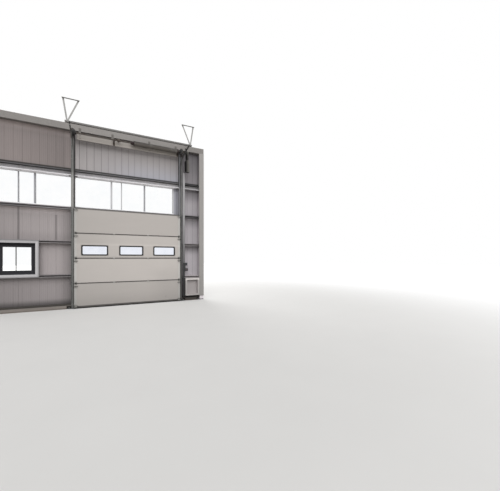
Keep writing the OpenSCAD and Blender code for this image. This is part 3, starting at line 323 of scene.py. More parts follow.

# %% [markdown]
# The door's sections have the same kind of sheet, pressed with a fine orange-peel grain so that
# dents don't show. Hands, tyres and splashes darken the foot, and grime gathers along the
# joints. Painted shade gives each of the four sections its own tone, darkens the sheet towards
# the left and along its lowest edge, and rings each light. The folded caps at the ends are a
# lighter sheet, so the paint changes at their edge.

# %% Door sections
def door_paint():
    p = Paint("door_sheet")
    grain = p.cells(190.0) * 0.5 + p.noise(420.0, 2.0) * 0.5
    mottle = p.noise(1.6, 4.0, 0.55)
    smear = p.noise(1.0, 4.0, 0.65, (0.8, 1.0, 6.0))
    inside = p.y < leaf_y + 0.012
    cap = abs(p.x - door_x).ramp(leaf_half - 0.061, leaf_half - 0.0595)
    joint = p.z.wave(section_h) * section_h
    crack = (1 - joint.ramp(0.012, 0.020)) * p.z.between(0.3, 2.7) * (1 - cap)
    grime = 1 - joint.ramp(0.0, 0.05)
    foot = p.z.fall(0.0, 0.55)
    # Painted shade: each section has its own tone, the sheet is darker towards the left and at the
    # lower right, lighter to the right in the lights' row, and dark along its lowest edge.
    section_shade = 0.86 + (p.z > section_h) * 0.14 - (p.z > lights_z0) * 0.16
    section_shade = section_shade + p.z.between(1.9, lights_z1) * p.x.ramp(door_x - 1.3, door_x - 0.3, 0.02, 0.10)
    section_shade = section_shade * (1 - p.x.ramp(door_x + 0.4, door_x + 1.2) * p.z.fall(0.9, 1.4) * 0.08)
    section_shade = section_shade * p.z.ramp(0.075, 0.082, 0.25, 1.0) * p.x.ramp(door_l, door_x + 0.3, 0.935, 1.01)
    top_seal = p.z.ramp(2.962, 2.972) * (1 - cap)
    tone = 0.955 + mottle * 0.05 + smear * 0.06
    tone = tone * (1 - foot * 0.12) * (1 - grime * 0.08) * (1 - inside * (1 - section_shade))
    tone = tone * (1 - p.noise(9.0, 6.0, 0.7).ramp(0.60, 0.74) * foot * 0.25)
    tone = tone * (1 - inside * crack * 0.88) * (1 - inside * top_seal * 0.65)
    from_light = ((p.x - door_x).wave(light_step) * light_step - light_half).math(
        "MAXIMUM", abs(p.z - light_z) - light_tall)
    # A dark ring round each light is the seal's lip with painted shade; the band at the lights'
    # height is a little lighter.
    rim = from_light.fall(0.004, 0.016) * p.z.between(lights_z0, lights_z1)
    level = 1 - abs(p.z - light_z).ramp(0.14, 0.26)
    tone = tone * (1 - inside * rim * 0.45) * (1 + inside * level * 0.13)
    sheet = p.mix(cap, srgb(199, 193, 188), srgb(207, 205, 201))
    p.finish(p.shade(sheet, tone), 0.40 + mottle * 0.15 + grime * 0.15,
             grain * 0.6 * (1 - cap) + mottle * 0.2, 0.0006)

door_paint()
print("finishes made:", len(finishes))

# %% [markdown]
# Hot-dip galvanising freezes in flowers, a few millimetres to a few centimetres across, each
# with its own grey. A cell texture gives each flower one random tone. Age dulls it until little
# of the metal's shine is left, and white bloom comes with damp. Painted steel is plainer: a
# soft mottle, runs, and chips where boots and trolleys reach.

# %% Galvanised and painted steel
slot_pitch = 0.05

def galvanised_paint(name, base, flower=55.0, metal=0.25, shade=None, dark=0.80, slots_y=None):
    p = Paint(name)
    bright = p.add("SeparateColor", inputs=[p.cells(flower, out="Color")])
    bloom = p.noise(6.0, 5.0, 0.65).ramp(0.50, 0.75)
    runs = p.noise(1.0, 3.0, 0.6, (30.0, 30.0, 1.2))
    tone = dark + bright * 0.18 + runs * 0.14
    if shade:
        tone = tone * shade(p)
    height = bright * 0.3 + bloom * 0.5
    if slots_y is not None:
        hole = (p.z.wave(slot_pitch) * slot_pitch < 0.009) * (abs(p.y - slots_y) < 0.0042)
        tone, height = tone * (1 - hole * 0.85), height - hole * 3.0
    colour = p.mix(bloom * 0.25, p.shade(srgb(*base), tone), srgb(170, 170, 168))
    p.finish(colour, 0.48 + bright * 0.18 + bloom * 0.2, height, 0.0004,
             metal - bloom * metal * 0.5)

def coated_steel(name, base, shade=None, rough=0.45, wear=(120, 112, 105)):
    p = Paint(name)
    mottle = p.noise(3.0, 4.0, 0.6)
    runs = p.noise(1.0, 3.0, 0.6, (40.0, 40.0, 1.0))
    chips = p.noise(24.0, 6.0, 0.7).ramp(0.66, 0.70)
    tone = 0.86 + mottle * 0.16 + runs * 0.12
    if shade:
        tone = tone * shade(p)
    worn = chips * p.z.ramp(0.0, 0.6, 1.0, 0.25) * 0.5
    p.finish(p.mix(worn, p.shade(srgb(*base), tone), srgb(*wear)), rough + mottle * 0.15,
             p.noise(150.0, 2.0) * 0.35 + mottle * 0.3 - chips * 0.2, 0.0006)

def frame_paint():
    """Pale coating indoors, dark outdoors. Head and sill, and the bars beside the brightest
    panes, are paler still, as painted glare."""
    p = Paint("strip_frame")
    lo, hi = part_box("strip_window_frame")
    half = (hi.z - lo.z) / 2
    edge = 1 - abs(p.z - (lo.z + hi.z) / 2).fall(half - 0.046, half - 0.042)
    mottle = p.noise(3.0, 4.0, 0.6)
    glare = (abs(p.x - door_x + 0.43) < 0.30) + (p.x > hi.x - 0.1)
    inner = p.mix(edge.math("MAXIMUM", glare), srgb(160, 161, 165),
                  p.mix(edge, srgb(196, 196, 199), srgb(244, 244, 246)))
    colour = p.mix(p.y > lo.y + 0.052, inner, srgb(66, 68, 72))
    p.finish(p.shade(colour, 0.93 + mottle * 0.14), 0.35 + mottle * 0.15,
             p.noise(150.0, 2.0) * 0.35 + mottle * 0.3, 0.0006)

def window_glare(p, strength):
    """Steel beside the strip window is paler, as its daylight spills over."""
    return 1 + p.z.ramp(2.9, 3.1) * p.z.fall(3.9, 4.1) * strength

def hinge_shade(p):
    """Painted shade on what stands out from the leaf, and more at its ends near a joint."""
    near_joint = p.z.wave(section_h) * section_h < 0.030
    at_ends = abs(p.x - door_x) > 1.4
    return (1 - (p.y < leaf_y - 0.008) * 0.8) * (1 - at_ends * (0.2 + near_joint * 0.6))

def head_shade(p):
    """Painted light and shade: lighter underneath, darker near the left post and in
    the pier, and its top lip almost black.
    """
    lip = p.z > head_top - 0.024
    near_post = (p.x < 2.0) * (p.z > head_top - 0.115)
    left_part = p.z.ramp(head_top - 0.158, head_top - 0.150, 1.2, 1.0) * (1 - near_post * 0.26)
    return either(p.x > door_r, left_part * (1 - lip * 0.83), 0.72 - lip * 0.68)

# Painted light and shade on the sill rail: lighter in its top lip, darker below it, much darker
# from the left door post on, and darker at its left end.
def sill_shade(p):
    return (p.z.ramp(sill_top - 0.06, sill_top - 0.03, 0.65, 1.15)
            * (1 - (p.x > door_l) * 0.65) * p.x.ramp(0.7, 1.5, 0.65, 1.0))

# The tracks are darker towards the floor, paler beside the strip window as painted glare, and the
# right track darker as painted shade.
def track_shade(p):
    right_track_shade = (p.x > door_x) * p.z.ramp(3.9, 4.2, 0.45, 0.2)
    return p.z.ramp(0.3, 2.2, 0.85, 1.0) * window_glare(p, 1.0) * (1 - right_track_shade)

# %% The steel's finishes
# name, colour, size of the flowers, metal, shade, least tone, place of the tracks' slots
zincs = (
    ("galvanised", (158, 157, 155)),
    ("hinge_zinc", (190, 187, 182), 70.0, 0.25, hinge_shade),
    # The pier's lowest rail is lighter, as painted light.
    ("rail_zinc", (140, 135, 136), 40.0, 0.15, lambda p: 1 + (p.x > 5.3) * (p.z < 1.1) * 0.6),
    # The head rail's zinc is pale, as painted glare from the strip window.
    ("head_zinc", (232, 230, 233), 40.0, 0.0, head_shade),
    ("sill_zinc", (172, 168, 170), 40.0, 0.10, sill_shade),
    ("bar_zinc", (116, 114, 112), 50.0),
    ("track_zinc", (112, 112, 110), 90.0, 0.25, track_shade, 0.80, -0.094),
    # The beam is darker towards both ends, as painted shade.
    ("beam_zinc", (139, 135, 132), 30.0, 0.10,
     lambda p: p.x.ramp(1.6, 2.1, 0.86, 1.0) * p.x.ramp(5.15, 5.4, 1.04, 0.86), 0.84),
    ("gear_zinc", (80, 71, 64), 60.0),
    ("bolt_zinc", (150, 149, 146), 220.0, 0.5),
    ("gear_bolt_zinc", (112, 106, 102), 220.0, 0.1),
    # The spring is darker on top, as painted shade, and lighter underneath, as painted light.
    ("spring_oiled", (108, 103, 98), 120.0, 0.15, lambda p: p.z.ramp(5.13, 5.25, 1.3, 0.45)),
    ("drum_cast", (44, 43, 42), 150.0, 0.3),
    ("cable_steel", (110, 110, 108), 200.0, 0.5),
)
# name, colour, shade, roughness, colour of the chips
coats = (
    ("cone_red", (48, 34, 34)),
    # The header rail's top edge is darker, as painted shade.
    ("header_paint", (163, 157, 151), lambda p: p.z.ramp(5.18, 5.21, 1.0, 0.45)),
    # The posts are darker towards the floor and paler beside the strip window, as painted glare.
    # post_shaded is a darker copy for the right post, as painted shade.
    ("post_paint", (112, 110, 109),
     lambda p: p.z.ramp(0.1, 2.4, 0.20, 1.0) * window_glare(p, 1.2)),
    ("post_shaded", (88, 88, 90),
     lambda p: p.z.ramp(0.1, 2.4, 0.42, 1.0) * window_glare(p, 3.0)),
    # The corner post is pale, as painted light on its face in shade, and darker high up, as
    # painted shade.
    ("corner_paint", (232, 225, 228), lambda p: p.z.ramp(3.5, 4.2, 1.0, 0.55)),
    ("dark_paint", (60, 60, 62)),
    ("dark_frame", (20, 20, 27), None, 0.5),
    ("outer_trim", (66, 68, 72), None, 0.4),
    ("trim_coat", (158, 155, 152), None, 0.45, (150, 145, 138)),
)
for maker, table in ((galvanised_paint, zincs), (coated_steel, coats)):
    for row in table:
        maker(*row)
frame_paint()
print("steel finishes:", len(zincs) + len(coats) + 1)

# %% [markdown]
# Cast concrete is pale where it is dry and brown where the broom leaves dirt. Small pits from
# trapped air are a cell texture whose near-centre values are pushed down. The kerb's upper
# edge, under the cladding, is darkened almost to black.

# %% Concrete, plastic, rubber and glass
def concrete_paint():
    p = Paint("kerb_concrete", 0.3)
    mottle = p.noise(5.0, 6.0, 0.65)
    sand = p.noise(350.0, 3.0)
    pits = (1 - p.cells(70.0).ramp(0.03, 0.12)) * p.noise(30.0).ramp(0.52, 0.60)
    dirt = p.z.fall(0.0, 0.05) * (0.4 + mottle)
    upper_edge_dark = p.z.ramp(0.095, 0.112) * p.y.fall(0.12, 0.16)
    tone = (0.80 + mottle * 0.30 - pits * 0.35 + sand * 0.05) * (1 - upper_edge_dark * 0.78)
    # Right of the door the kerb is much darker, as painted shade.
    tone = tone * p.x.ramp(5.1, 5.3, 1.0, 0.28)
    colour = p.mix(dirt * 0.6, p.shade(srgb(142, 135, 129), tone), srgb(80, 68, 58))
    p.finish(colour, 0.85 + mottle * 0.1, mottle * 0.8 + sand * 0.15 - pits * 1.2, 0.003)

def moulded(name, base, rough=0.7, grain=300.0, dusty=0.1, patch=None, patch_colour=None,
            sheen=0.4):
    p = Paint(name, sheen)
    mottle = p.noise(6.0, 4.0, 0.6)
    dust = p.noise(14.0, 5.0, 0.65).ramp(0.45, 0.75)
    base = srgb(*base)
    if patch:
        base = p.mix(patch(p), base, srgb(*patch_colour))
    colour = p.mix(dust * dusty, p.shade(base, 0.9 + mottle * 0.2), srgb(150, 145, 138))
    p.finish(colour, rough + dust * 0.2, p.noise(grain, 1.0) * 0.4 + mottle * 0.3, 0.0003)

def glass_paint(name, clear, hazy):
    p = Paint(name, 0.5)
    p.shader["Transmission Weight"].default_value = 1.0
    p.shader["IOR"].default_value = 1.45
    haze = p.noise(3.0, 5.0, 0.65)
    wiped = p.noise(1.0, 3.0, 0.6, (12.0, 12.0, 1.5))
    colour = p.mix(haze.ramp(0.35, 0.75) * 0.5 + wiped * 0.2, srgb(*clear), srgb(*hazy))
    p.finish(colour, haze.ramp(0.3, 0.8, 0.0, 0.05), haze, 0.0002)

def stop_button(p):
    lo = low("door_control")
    return (abs(p.z - (lo.z + 0.0525)) < 0.0098) * (p.y < lo.y + 0.0055)

def case_front(p):
    """The front of the operator's case catches the light, more towards its right side."""
    lo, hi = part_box("operator")
    return (p.y < lo.y + 0.02) * p.x.ramp(lo.x + 0.01, hi.x - 0.01)

# name, colour, roughness, grain, dust, and where a patch has another colour
plastics = (
    ("black_plastic", (12, 12, 13), 0.45, 600.0, 0.05),
    ("tyre_plastic", (36, 35, 34), 0.5, 600.0, 0.16),
    ("case_plastic", (12, 11, 11), 0.7, 600.0, 0.02, case_front, (108, 106, 102), 0.15),
    ("control_plastic", (58, 58, 62), 0.4, 600.0, 0.16, stop_button, (120, 44, 38)),
    ("seal_rubber", (22, 22, 22), 0.7, 300.0, 0.08),
    # Above the door the right seal is pale, as painted glare.
    ("side_rubber", (22, 22, 22), 0.7, 300.0, 0.08,
     lambda p: (p.x > door_x) * (p.z > 3.02), (150, 150, 154)),
    ("gasket_rubber", (34, 34, 34)),
    # A pale copy of the gasket, as painted glare in the strip window.
    ("pale_gasket", (150, 150, 152)),
    ("joint_rubber", (92, 88, 88)),
)
concrete_paint()
for row in plastics:
    moulded(*row)
glass_paint("window_glass", (255, 255, 255), (246, 249, 251))
glass_paint("door_glass", (239, 242, 250), (220, 225, 237))
print("finishes made:", len(finishes))

# %% [markdown]
# Four fittings have a finish that changes along the piece. The white trunking is lighter high
# up, as painted daylight, and darker towards the switch; below the switch it is painted dark
# grey. The push-button box has one coloured button. The low window's face trim is mitred at its
# corners, and the fine line of each mitre runs at 45 degrees, where the two edges are equally
# far; its edges, head and top are darkened as painted shade. The white box is duller in its
# recess, and its frame lighter at the top, as painted light.

# %% Trunking, control, face trim and white box
def trunk_paint():
    p = Paint("trunk_white")
    dark_part_top, lid_z = 1.34, 3.34
    mottle = p.noise(4.0, 4.0, 0.6)
    lid_end = abs(p.z - lid_z) < 0.0012
    # Painted light: the trunking is lighter high up, as painted daylight, and darker towards the
    # switch.
    tone = p.z.ramp(1.2, 3.4, 0.36, 1.04) * (0.92 + mottle * 0.12) * (1 - lid_end * 0.6)
    # Below dark_part_top the trunking is painted dark grey, darker towards the floor.
    dark = p.shade(srgb(56, 56, 57), (0.8 + mottle * 0.4) * p.z.ramp(0.5, 1.2, 0.40, 1.0))
    colour = p.mix(p.z < dark_part_top, p.shade(srgb(162, 161, 162), tone), dark)
    p.finish(colour, 0.40 + mottle * 0.2, p.noise(300.0) * 0.3 + mottle * 0.3, 0.0004)

def mitred_board():
    p = Paint("white_board")
    lo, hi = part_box("low_window_lining")
    from_side = (hi.x - lo.x) / 2 - abs(p.x - (lo.x + hi.x) / 2)
    from_end = (hi.z - lo.z) / 2 - abs(p.z - (lo.z + hi.z) / 2)
    trim_w = 0.085
    mitre = (abs(from_side - from_end) < 0.0012) * (from_side < trim_w)
    mottle = p.noise(3.0, 4.0, 0.6)
    grime = p.z.ramp(lo.z, lo.z + 0.10, 0.90, 1.0)
    # Painted shade: darker at the outer edges, under the top, on the head and a little on the
    # right jamb.
    rim = from_side.math("MINIMUM", from_end).ramp(0.0, 0.045, 0.45, 1.0)
    under = (p.z > hi.z - 0.095) * (p.y > lo.y + 0.03)
    head = (p.z > hi.z - trim_w) * (from_end < from_side)
    jamb = (p.x > hi.x - trim_w) * (from_side < from_end)
    tone = (0.90 + mottle * 0.14) * grime * rim * (1 - mitre * 0.55) * (1 - under * 0.6)
    tone = tone * (1 - head * 0.20 - jamb * 0.04)
    p.finish(p.shade(srgb(201, 199, 201), tone), 0.38 + mottle * 0.15,
             p.noise(200.0) * 0.3 - mitre * 1.5, 0.0005)

def box_paint():
    p = Paint("box_white")
    lo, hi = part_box("wall_box")
    recess = p.y > lo.y + 0.012
    mottle = p.noise(4.0, 4.0, 0.6)
    base = p.mix(recess, srgb(224, 219, 216), srgb(172, 166, 165))
    # Painted light: the frame's top is lighter than its sides, and the recess lighter towards its
    # top.
    front = 0.6 + p.z.ramp(hi.z - 0.085, hi.z - 0.06) * 0.33
    tone = (0.9 + mottle * 0.14) * either(recess, front, p.z.ramp(lo.z + 0.2, hi.z, 1.0, 1.1))
    p.finish(p.shade(base, tone), 0.4 + mottle * 0.2, p.noise(300.0) * 0.3, 0.0004)

for make in (box_paint, trunk_paint, mitred_board):
    make()
print("finishes made:", len(finishes))

# %% [markdown]
# Each built node takes one of these finishes. Its mesh stays as it is.

# %% Finishes on the built nodes
dressing = {
    "liner_low": ["left_wall_panels"],
    "liner_high": ["upper_left_panels", "upper_door_panels"],
    "liner_pier": ["right_wall_panels"],
    "door_sheet": [f"door_section_{n}" for n in (1, 2, 3, 4)],
    "dark_paint": ["base_plates"],
    "post_paint": ["left_column", "left_door_post"],
    "post_shaded": ["right_door_post"],
    "corner_paint": ["corner_post"],
    "trim_coat": ["corner_trim"],
    "beam_zinc": ["eaves_beam"],
    "head_zinc": ["window_head_rails"],
    "sill_zinc": ["window_sill_rails"],
    "rail_zinc": ["upper_side_rails", "lower_side_rails", "rail_cleats", "window_trimmers"],
    "kerb_concrete": ["kerbs"],
    "outer_trim": ["outer_flashings"],
    "strip_frame": ["strip_window_frame"],
    "dark_frame": ["low_window_frame"],
    "window_glass": ["strip_window_glass", "low_window_glass"],
    "door_glass": ["door_light_glass"],
    "white_board": ["low_window_lining"],
    "black_plastic": ["door_light_frames"],
    "seal_rubber": ["bottom_seal"],
    "side_rubber": ["side_seals"],
    "hinge_zinc": ["door_hinges"],
    "galvanised": ["track_hangers"],
    "bar_zinc": ["back_bar"],
    "gear_zinc": ["lift_shaft", "bearing_brackets"],
    "track_zinc": ["vertical_tracks", "curved_tracks", "track_angles"],
    "tyre_plastic": ["door_rollers"],
    "header_paint": ["header_rail"],
    "spring_oiled": ["torsion_spring"],
    "drum_cast": ["cable_drums"],
    "cable_steel": ["lift_cables"],
    "case_plastic": ["operator"],
    "trunk_white": ["cable_trunking"],
    "control_plastic": ["door_control"],
    "box_white": ["wall_box"],
}
for finish, names in dressing.items():
    for name in names:
        nodes[name].data.materials.clear()
        nodes[name].data.materials.append(finishes[finish])
print("dressed", sum(1 for o in nodes.values() if o.data.materials), "nodes")

# %% [markdown]
# The small pieces come in hundreds and follow rules: a bolt at each cleat, a rivet at each
# hinge, a gasket round each pane. That is work for Geometry Nodes. A tree takes a start mesh,
# which is only a set of places, and grows the pieces on it. This class builds such a tree in
# the script. Its inputs have names, and the result is kept as a plain mesh.

# %% A small builder for Geometry Nodes
class Tree(Nodes):
    """A Geometry Nodes tree with named inputs for its sizes and its finish."""
    prefix = "GeometryNode"

    def __init__(self, name, **sizes):
        super().__init__(bpy.data.node_groups.new(name, "GeometryNodeTree"))
        self.tree.is_modifier = True
        panel, self.ids = self.tree.interface, {}
        for way in ("OUTPUT", "INPUT"):
            panel.new_socket("Geometry", in_out=way, socket_type="NodeSocketGeometry")
        for key, value in sizes.items():
            kind = "NodeSocketInt" if isinstance(value, int) else "NodeSocketFloat"
            socket = panel.new_socket(key, in_out="INPUT", socket_type=kind)
            socket.default_value = value
            self.ids[key] = socket.identifier
        finish = panel.new_socket("finish", in_out="INPUT", socket_type="NodeSocketMaterial")
        self.ids["finish"] = finish.identifier
        self.source = self.tree.nodes.new("NodeGroupInput").outputs

    def __getitem__(self, key):
        """One of the tree's own inputs."""
        return Value(self, self.source[key])

    def up(self, shape, height):
        return self.add("Transform", inputs={
            "Geometry": shape, "Translation": self.add("ShaderNodeCombineXYZ",
                                                       inputs={"Z": height})})

    def join(self, *shapes):
        node = self.tree.nodes.new("GeometryNodeJoinGeometry")
        for shape in reversed(shapes):
            self.feed(node.inputs[0], shape)
        return Value(self, node.outputs[0])

    def tube(self, curve, sides, radius):
        """A round profile carried along a curve, with closed ends."""
        ring = self.add("CurvePrimitiveCircle", {"mode": "RADIUS"},
                        {"Resolution": sides, "Radius": radius})
        return self.add("CurveToMesh", inputs={"Curve": curve, "Profile Curve": ring,
                                               "Fill Caps": True})

    def on_places(self, shape, seed=None):
        """The shape on each start point, its Z axis turned to the way the point faces."""
        turn = self.add("FunctionNodeAlignRotationToVector", {"axis": "Z"},
                        {"Vector": self.facing()})
        if seed is not None:
            angle = self.add("FunctionNodeRandomValue", {"data_type": "FLOAT"},
                             {2: 0.0, 3: math.tau, "Seed": seed}, out=1)
            spin = self.add("FunctionNodeAxisAngleToRotation",
                            inputs={"Axis": (0.0, 0.0, 1.0), "Angle": angle})
            turn = self.add("FunctionNodeRotateRotation", {"rotation_space": "LOCAL"},
                            [turn, spin])
        return self.add("InstanceOnPoints", inputs={"Points": self["Geometry"],
                                                    "Instance": shape, "Rotation": turn})

    def facing(self):
        return self.add("InputNamedAttribute", {"data_type": "FLOAT_VECTOR"}, {"Name": "facing"})

    def finish(self, geometry, smooth=False):
        real = self.add("RealizeInstances", inputs=[geometry])
        shaded = self.add("SetShadeSmooth", inputs={"Geometry": real, "Shade Smooth": smooth})
        painted = self.add("SetMaterial", inputs={"Geometry": shaded,
                                                  "Material": self["finish"]})
        self.feed(self.tree.nodes.new("NodeGroupOutput").inputs[0], painted)
        return self


def places_mesh(places, runs=()):
    """A start mesh: points with the way each one faces, and edges along any runs."""
    mesh = bpy.data.meshes.new("places")
    mesh.from_pydata([p[:3] for p in places], list(runs), [])
    facing = mesh.attributes.new("facing", "FLOAT_VECTOR", "POINT")
    ways = [v for p in places for v in (p[3:] if len(p) > 3 else (0.0, 0.0, 1.0))]
    facing.data.foreach_set("vector", ways)
    return mesh

made = {}

def keep(name, mesh):
    """Makes a mesh a piece of the scene that rides on the bay."""
    piece = bpy.data.objects.new(name, mesh)
    link(piece)
    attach(piece, "root")
    mesh.calc_loop_triangles()
    made[name] = len(mesh.loop_triangles)
    print(f"{name}: {made[name]} triangles")
    return piece

def grow(name, tree, start, slot="galvanised", finish="bolt_zinc", **sizes):
    """Runs a tree on places or on a start mesh, and keeps the result as a plain mesh."""
    mesh = places_mesh(start) if isinstance(start, list) else start
    holder = bpy.data.objects.new("start", mesh)
    link(holder)
    modifier = holder.modifiers.new("grow", "NODES")
    modifier.node_group = tree.tree
    for key, value in {**sizes, "finish": finishes[finish]}.items():
        modifier[tree.ids[key]] = value
    depsgraph = bpy.context.evaluated_depsgraph_get()
    mesh = bpy.data.meshes.new_from_object(holder.evaluated_get(depsgraph), depsgraph=depsgraph)
    bpy.data.objects.remove(holder)
    return keep(name, mesh)

room, yard = (0, -1, 0), (0, 1, 0)
up, down = (0, 0, 1), (0, 0, -1)
left, right = (-1, 0, 0), (1, 0, 0)

def spot(x, y, z, way):
    return (x, y, z, *way)

print("tree builder ready")

# %% [markdown]
# A set bolt seen from outside is a washer, a six-sided head and, on the nut's side, a few
# threads. One tree makes all three from six sizes. Each bolt is turned by a random angle with
# a fixed seed, because nobody lines up the flats. Set at 32 sides with a wide, thin head, the
# same tree also makes cooling fins.

# %% The bolt tree and its places
def bolt_tree():
    t = Tree("bolt", sides=6, head_r=0.010, head_h=0.0075, washer_r=0.012, washer_h=0.0025,
             stud_r=0.006, stud_h=0.004, seed=4)
    head = t.add("MeshCylinder", inputs={"Vertices": t["sides"], "Radius": t["head_r"],
                                         "Depth": t["head_h"]})
    washer = t.add("MeshCylinder", inputs={"Vertices": 14, "Radius": t["washer_r"],
                                           "Depth": t["washer_h"]})
    stud = t.add("MeshCone", inputs={"Vertices": 8, "Radius Bottom": t["stud_r"],
                                     "Radius Top": t["stud_r"] * 0.8, "Depth": t["stud_h"]})
    whole = t.join(t.up(head, t["washer_h"] + t["head_h"] * 0.5),
                   t.up(washer, t["washer_h"] * 0.5), t.up(stud, t["washer_h"] + t["head_h"]))
    return t.finish(t.on_places(whole, t["seed"]))

bolts = bolt_tree()

# The rails' undersides, from the lowest up. The pier's lowest rail is just over the white box.
rail_z = [low(rails).z for rails in ("lower_side_rails", "upper_side_rails",
                                     "window_sill_rails", "window_head_rails")]
right_rail_z = [high("wall_box").z + 0.010] + rail_z[1:]
beam_z = low("eaves_beam").z
# The rails' cleats: the support's face, the way the cleat points, how far in its bolts sit
reach, column_reach = 0.035, 0.131
column_half, column_flange, column_web = 0.1, 0.088, 0.004
cleats = [(column_web, 1, z, column_reach) for z in rail_z + [beam_z]]
cleats += [(post_l, -1, z, reach) for z in rail_z]
cleats += [(post_r, 1, z, reach) for z in right_rail_z]
cleats += [(corner_x, -1, z, reach) for z in right_rail_z]
for z in rail_z[2:]:
    cleats += [(gap_l, 1, z, reach), (gap_r, -1, z, reach)]
print("cleats:", len(cleats), "low rails at", round(rail_z[0], 3), round(right_rail_z[0], 3))

# %% Bolts at the cleats
rail_t, cleat_t, leg_middle = 0.003, 0.006, 0.040
heads, nuts = [], []
for face, way, z, inset in cleats:
    for y in (0.005, 0.055):
        heads.append(spot(face + way * inset, y, z + rail_t, up))
        nuts.append(spot(face + way * inset, y, z - cleat_t - 0.0003, down))
        heads.append(spot(face + way * cleat_t, y, z - leg_middle, right if way > 0 else left))
grow("cleat_bolt_heads", bolts, heads, stud_h=0.0002)
grow("cleat_nuts", bolts, nuts, stud_h=0.012)

# %% [markdown]
# The feet stand on anchors set in the floor. They are thicker than the frame's bolts, with a
# stud that stands well clear of the nut. The posts are welded to their plates, and a weld is
# the sweep of a small circle along the joint, made lumpy by noise, as the pool of steel froze.

# %% Anchors and welds
plate_top, column_bolt, beside_post = 0.020, 0.110, 0.050
anchors = [spot(x, y, plate_top, up) for x in (-column_bolt, column_bolt)
           for y in (-column_bolt, column_bolt)]
for x in (post_l - beside_post, post_r + beside_post, corner_x - beside_post):
    anchors += [spot(x, y, plate_top, up) for y in (-0.010, 0.070)]
grow("foot_anchors", bolts, anchors, head_r=0.0139, head_h=0.013, washer_r=0.017,
     washer_h=0.003, stud_r=0.008, stud_h=0.022)

def sweep_tree():
    t = Tree("sweep", radius=0.004, sides=8, lumps=0.0, lump_scale=120.0, seed=1)
    body = t.tube(t.add("MeshToCurve", inputs=[t["Geometry"]]), t["sides"], t["radius"])
    noise = t.add("ShaderNodeTexNoise", {"noise_dimensions": "4D"},
                  {"W": t["seed"], "Scale": t["lump_scale"]}, out="Color")
    centred = t.add("ShaderNodeVectorMath", {"operation": "SUBTRACT"}, [noise, (0.5, 0.5, 0.5)])
    push = t.add("ShaderNodeVectorMath", {"operation": "SCALE"},
                 {0: centred, "Scale": t["lumps"]})
    return t.finish(t.add("SetPosition", inputs={"Geometry": body, "Offset": push}), smooth=True)

sweep = sweep_tree()

def path_points(corners, step):
    """Points along straight runs, about a step apart."""
    points = []
    for a, b in zip(corners, corners[1:]):
        a, b = Vector(a), Vector(b)
        parts = max(1, round((b - a).length / step))
        points += [tuple(a.lerp(b, k / parts)) for k in range(parts)]
    return points + [corners[-1]]

def runs_mesh(paths, closed=False):
    """A start mesh of several paths, each given as its points."""
    points, edges = [], []
    for path in paths:
        first = len(points)
        points += path
        edges += [(first + k, first + k + 1) for k in range(len(path) - 1)]
        if closed:
            edges.append((len(points) - 1, first))
    return places_mesh(points, edges)

steel_t = 0.006
front, back = room_y, high("left_door_post").y - steel_t
foot_z = plate_top + 0.001
welds = [[(x0, back, foot_z), (x0, front, foot_z), (x1, front, foot_z), (x1, back, foot_z)]
         for x0, x1 in ((post_l, gap_l), (gap_r, post_r))]
welds.append([(corner_x, back, foot_z), (corner_x, front, foot_z),
              (high("corner_post").x - steel_t, front, foot_z)])
half_outline = [(column_half, -column_half), (column_half, -column_flange),
                (column_web, -column_flange), (column_web, column_flange),
                (column_half, column_flange), (column_half, column_half)]
outline = [(-column_half, -column_half)] + half_outline + [(-x, -y) for x, y in half_outline]
welds.append([(x, y, foot_z) for x, y in outline])
grow("foot_welds", sweep, runs_mesh([path_points(w, 0.006) for w in welds]), "post_steel",
     "dark_paint", radius=0.0042, sides=8, lumps=0.003, lump_scale=160.0)

# %% [markdown]
# The tracks hang on steel angles, and those are screwed to the posts. The track itself is held
# by round-headed bolts, so that nothing inside it catches a roller, with the nuts outside.

# %% Fixings of the tracks
track_in = 1.6065                              # inner face of the track's web, from the middle
angle_out = 1.612                              # outer face of the angle
post_screw = 1.634                             # the screws into the posts
web_y, angles_top = -0.121, 4.50               # line of the track's bolts, end of the angles
first_z, fixing_step, between_rows = 0.14, 0.48, 0.12
screws, web_nuts, domes = [], [], []
for side in (-1, 1):
    out, back_in = (right, left) if side > 0 else (left, right)
    for k in range(10):
        z = first_z + k * fixing_step
        if z < angles_top:
            screws.append(spot(door_x + side * post_screw, room_y - 0.003, z, room))
            web_nuts.append(spot(door_x + side * angle_out, web_y, z + between_rows, out))
            domes.append(spot(door_x + side * track_in, web_y, z + between_rows, back_in))
    for y, z in ((-0.118, 4.565), (-0.118, 4.660), (-0.075, 4.760), (-0.112, 4.760)):
        web_nuts.append(spot(door_x + side * angle_out, y, z, out))
    for z in (4.60, 4.74, 4.88):
        screws.append(spot(door_x + side * post_screw, room_y - 0.0033, z, room))
grow("track_screws", bolts, screws, head_r=0.0065, head_h=0.005, washer_r=0.010,
     washer_h=0.0016, stud_h=0.0002, stud_r=0.003)
grow("track_nuts", bolts, web_nuts, head_r=0.0075, head_h=0.006, washer_r=0.009,
     washer_h=0.0016, stud_r=0.004, stud_h=0.004)

def dome_tree():
    t = Tree("dome", radius=0.005, height=0.003)
    ball = t.add("MeshUVSphere", inputs={"Segments": 10, "Rings": 6, "Radius": t["radius"]})
    scale = t.add("ShaderNodeCombineXYZ", inputs=[1.0, 1.0, t["height"] / t["radius"]])
    flat = t.add("Transform", inputs={"Geometry": ball, "Scale": scale})
    return t.finish(t.on_places(flat), smooth=True)

dome = dome_tree()
grow("track_bolt_heads", dome, domes, radius=0.008, height=0.003)

# %% [markdown]
# A sectional door is held together by rivets: four in each leaf of a hinge, more in the roller
# brackets, and a row down each end cap. Their heads are low domes. The door lights are clipped
# in by screws round their frames.

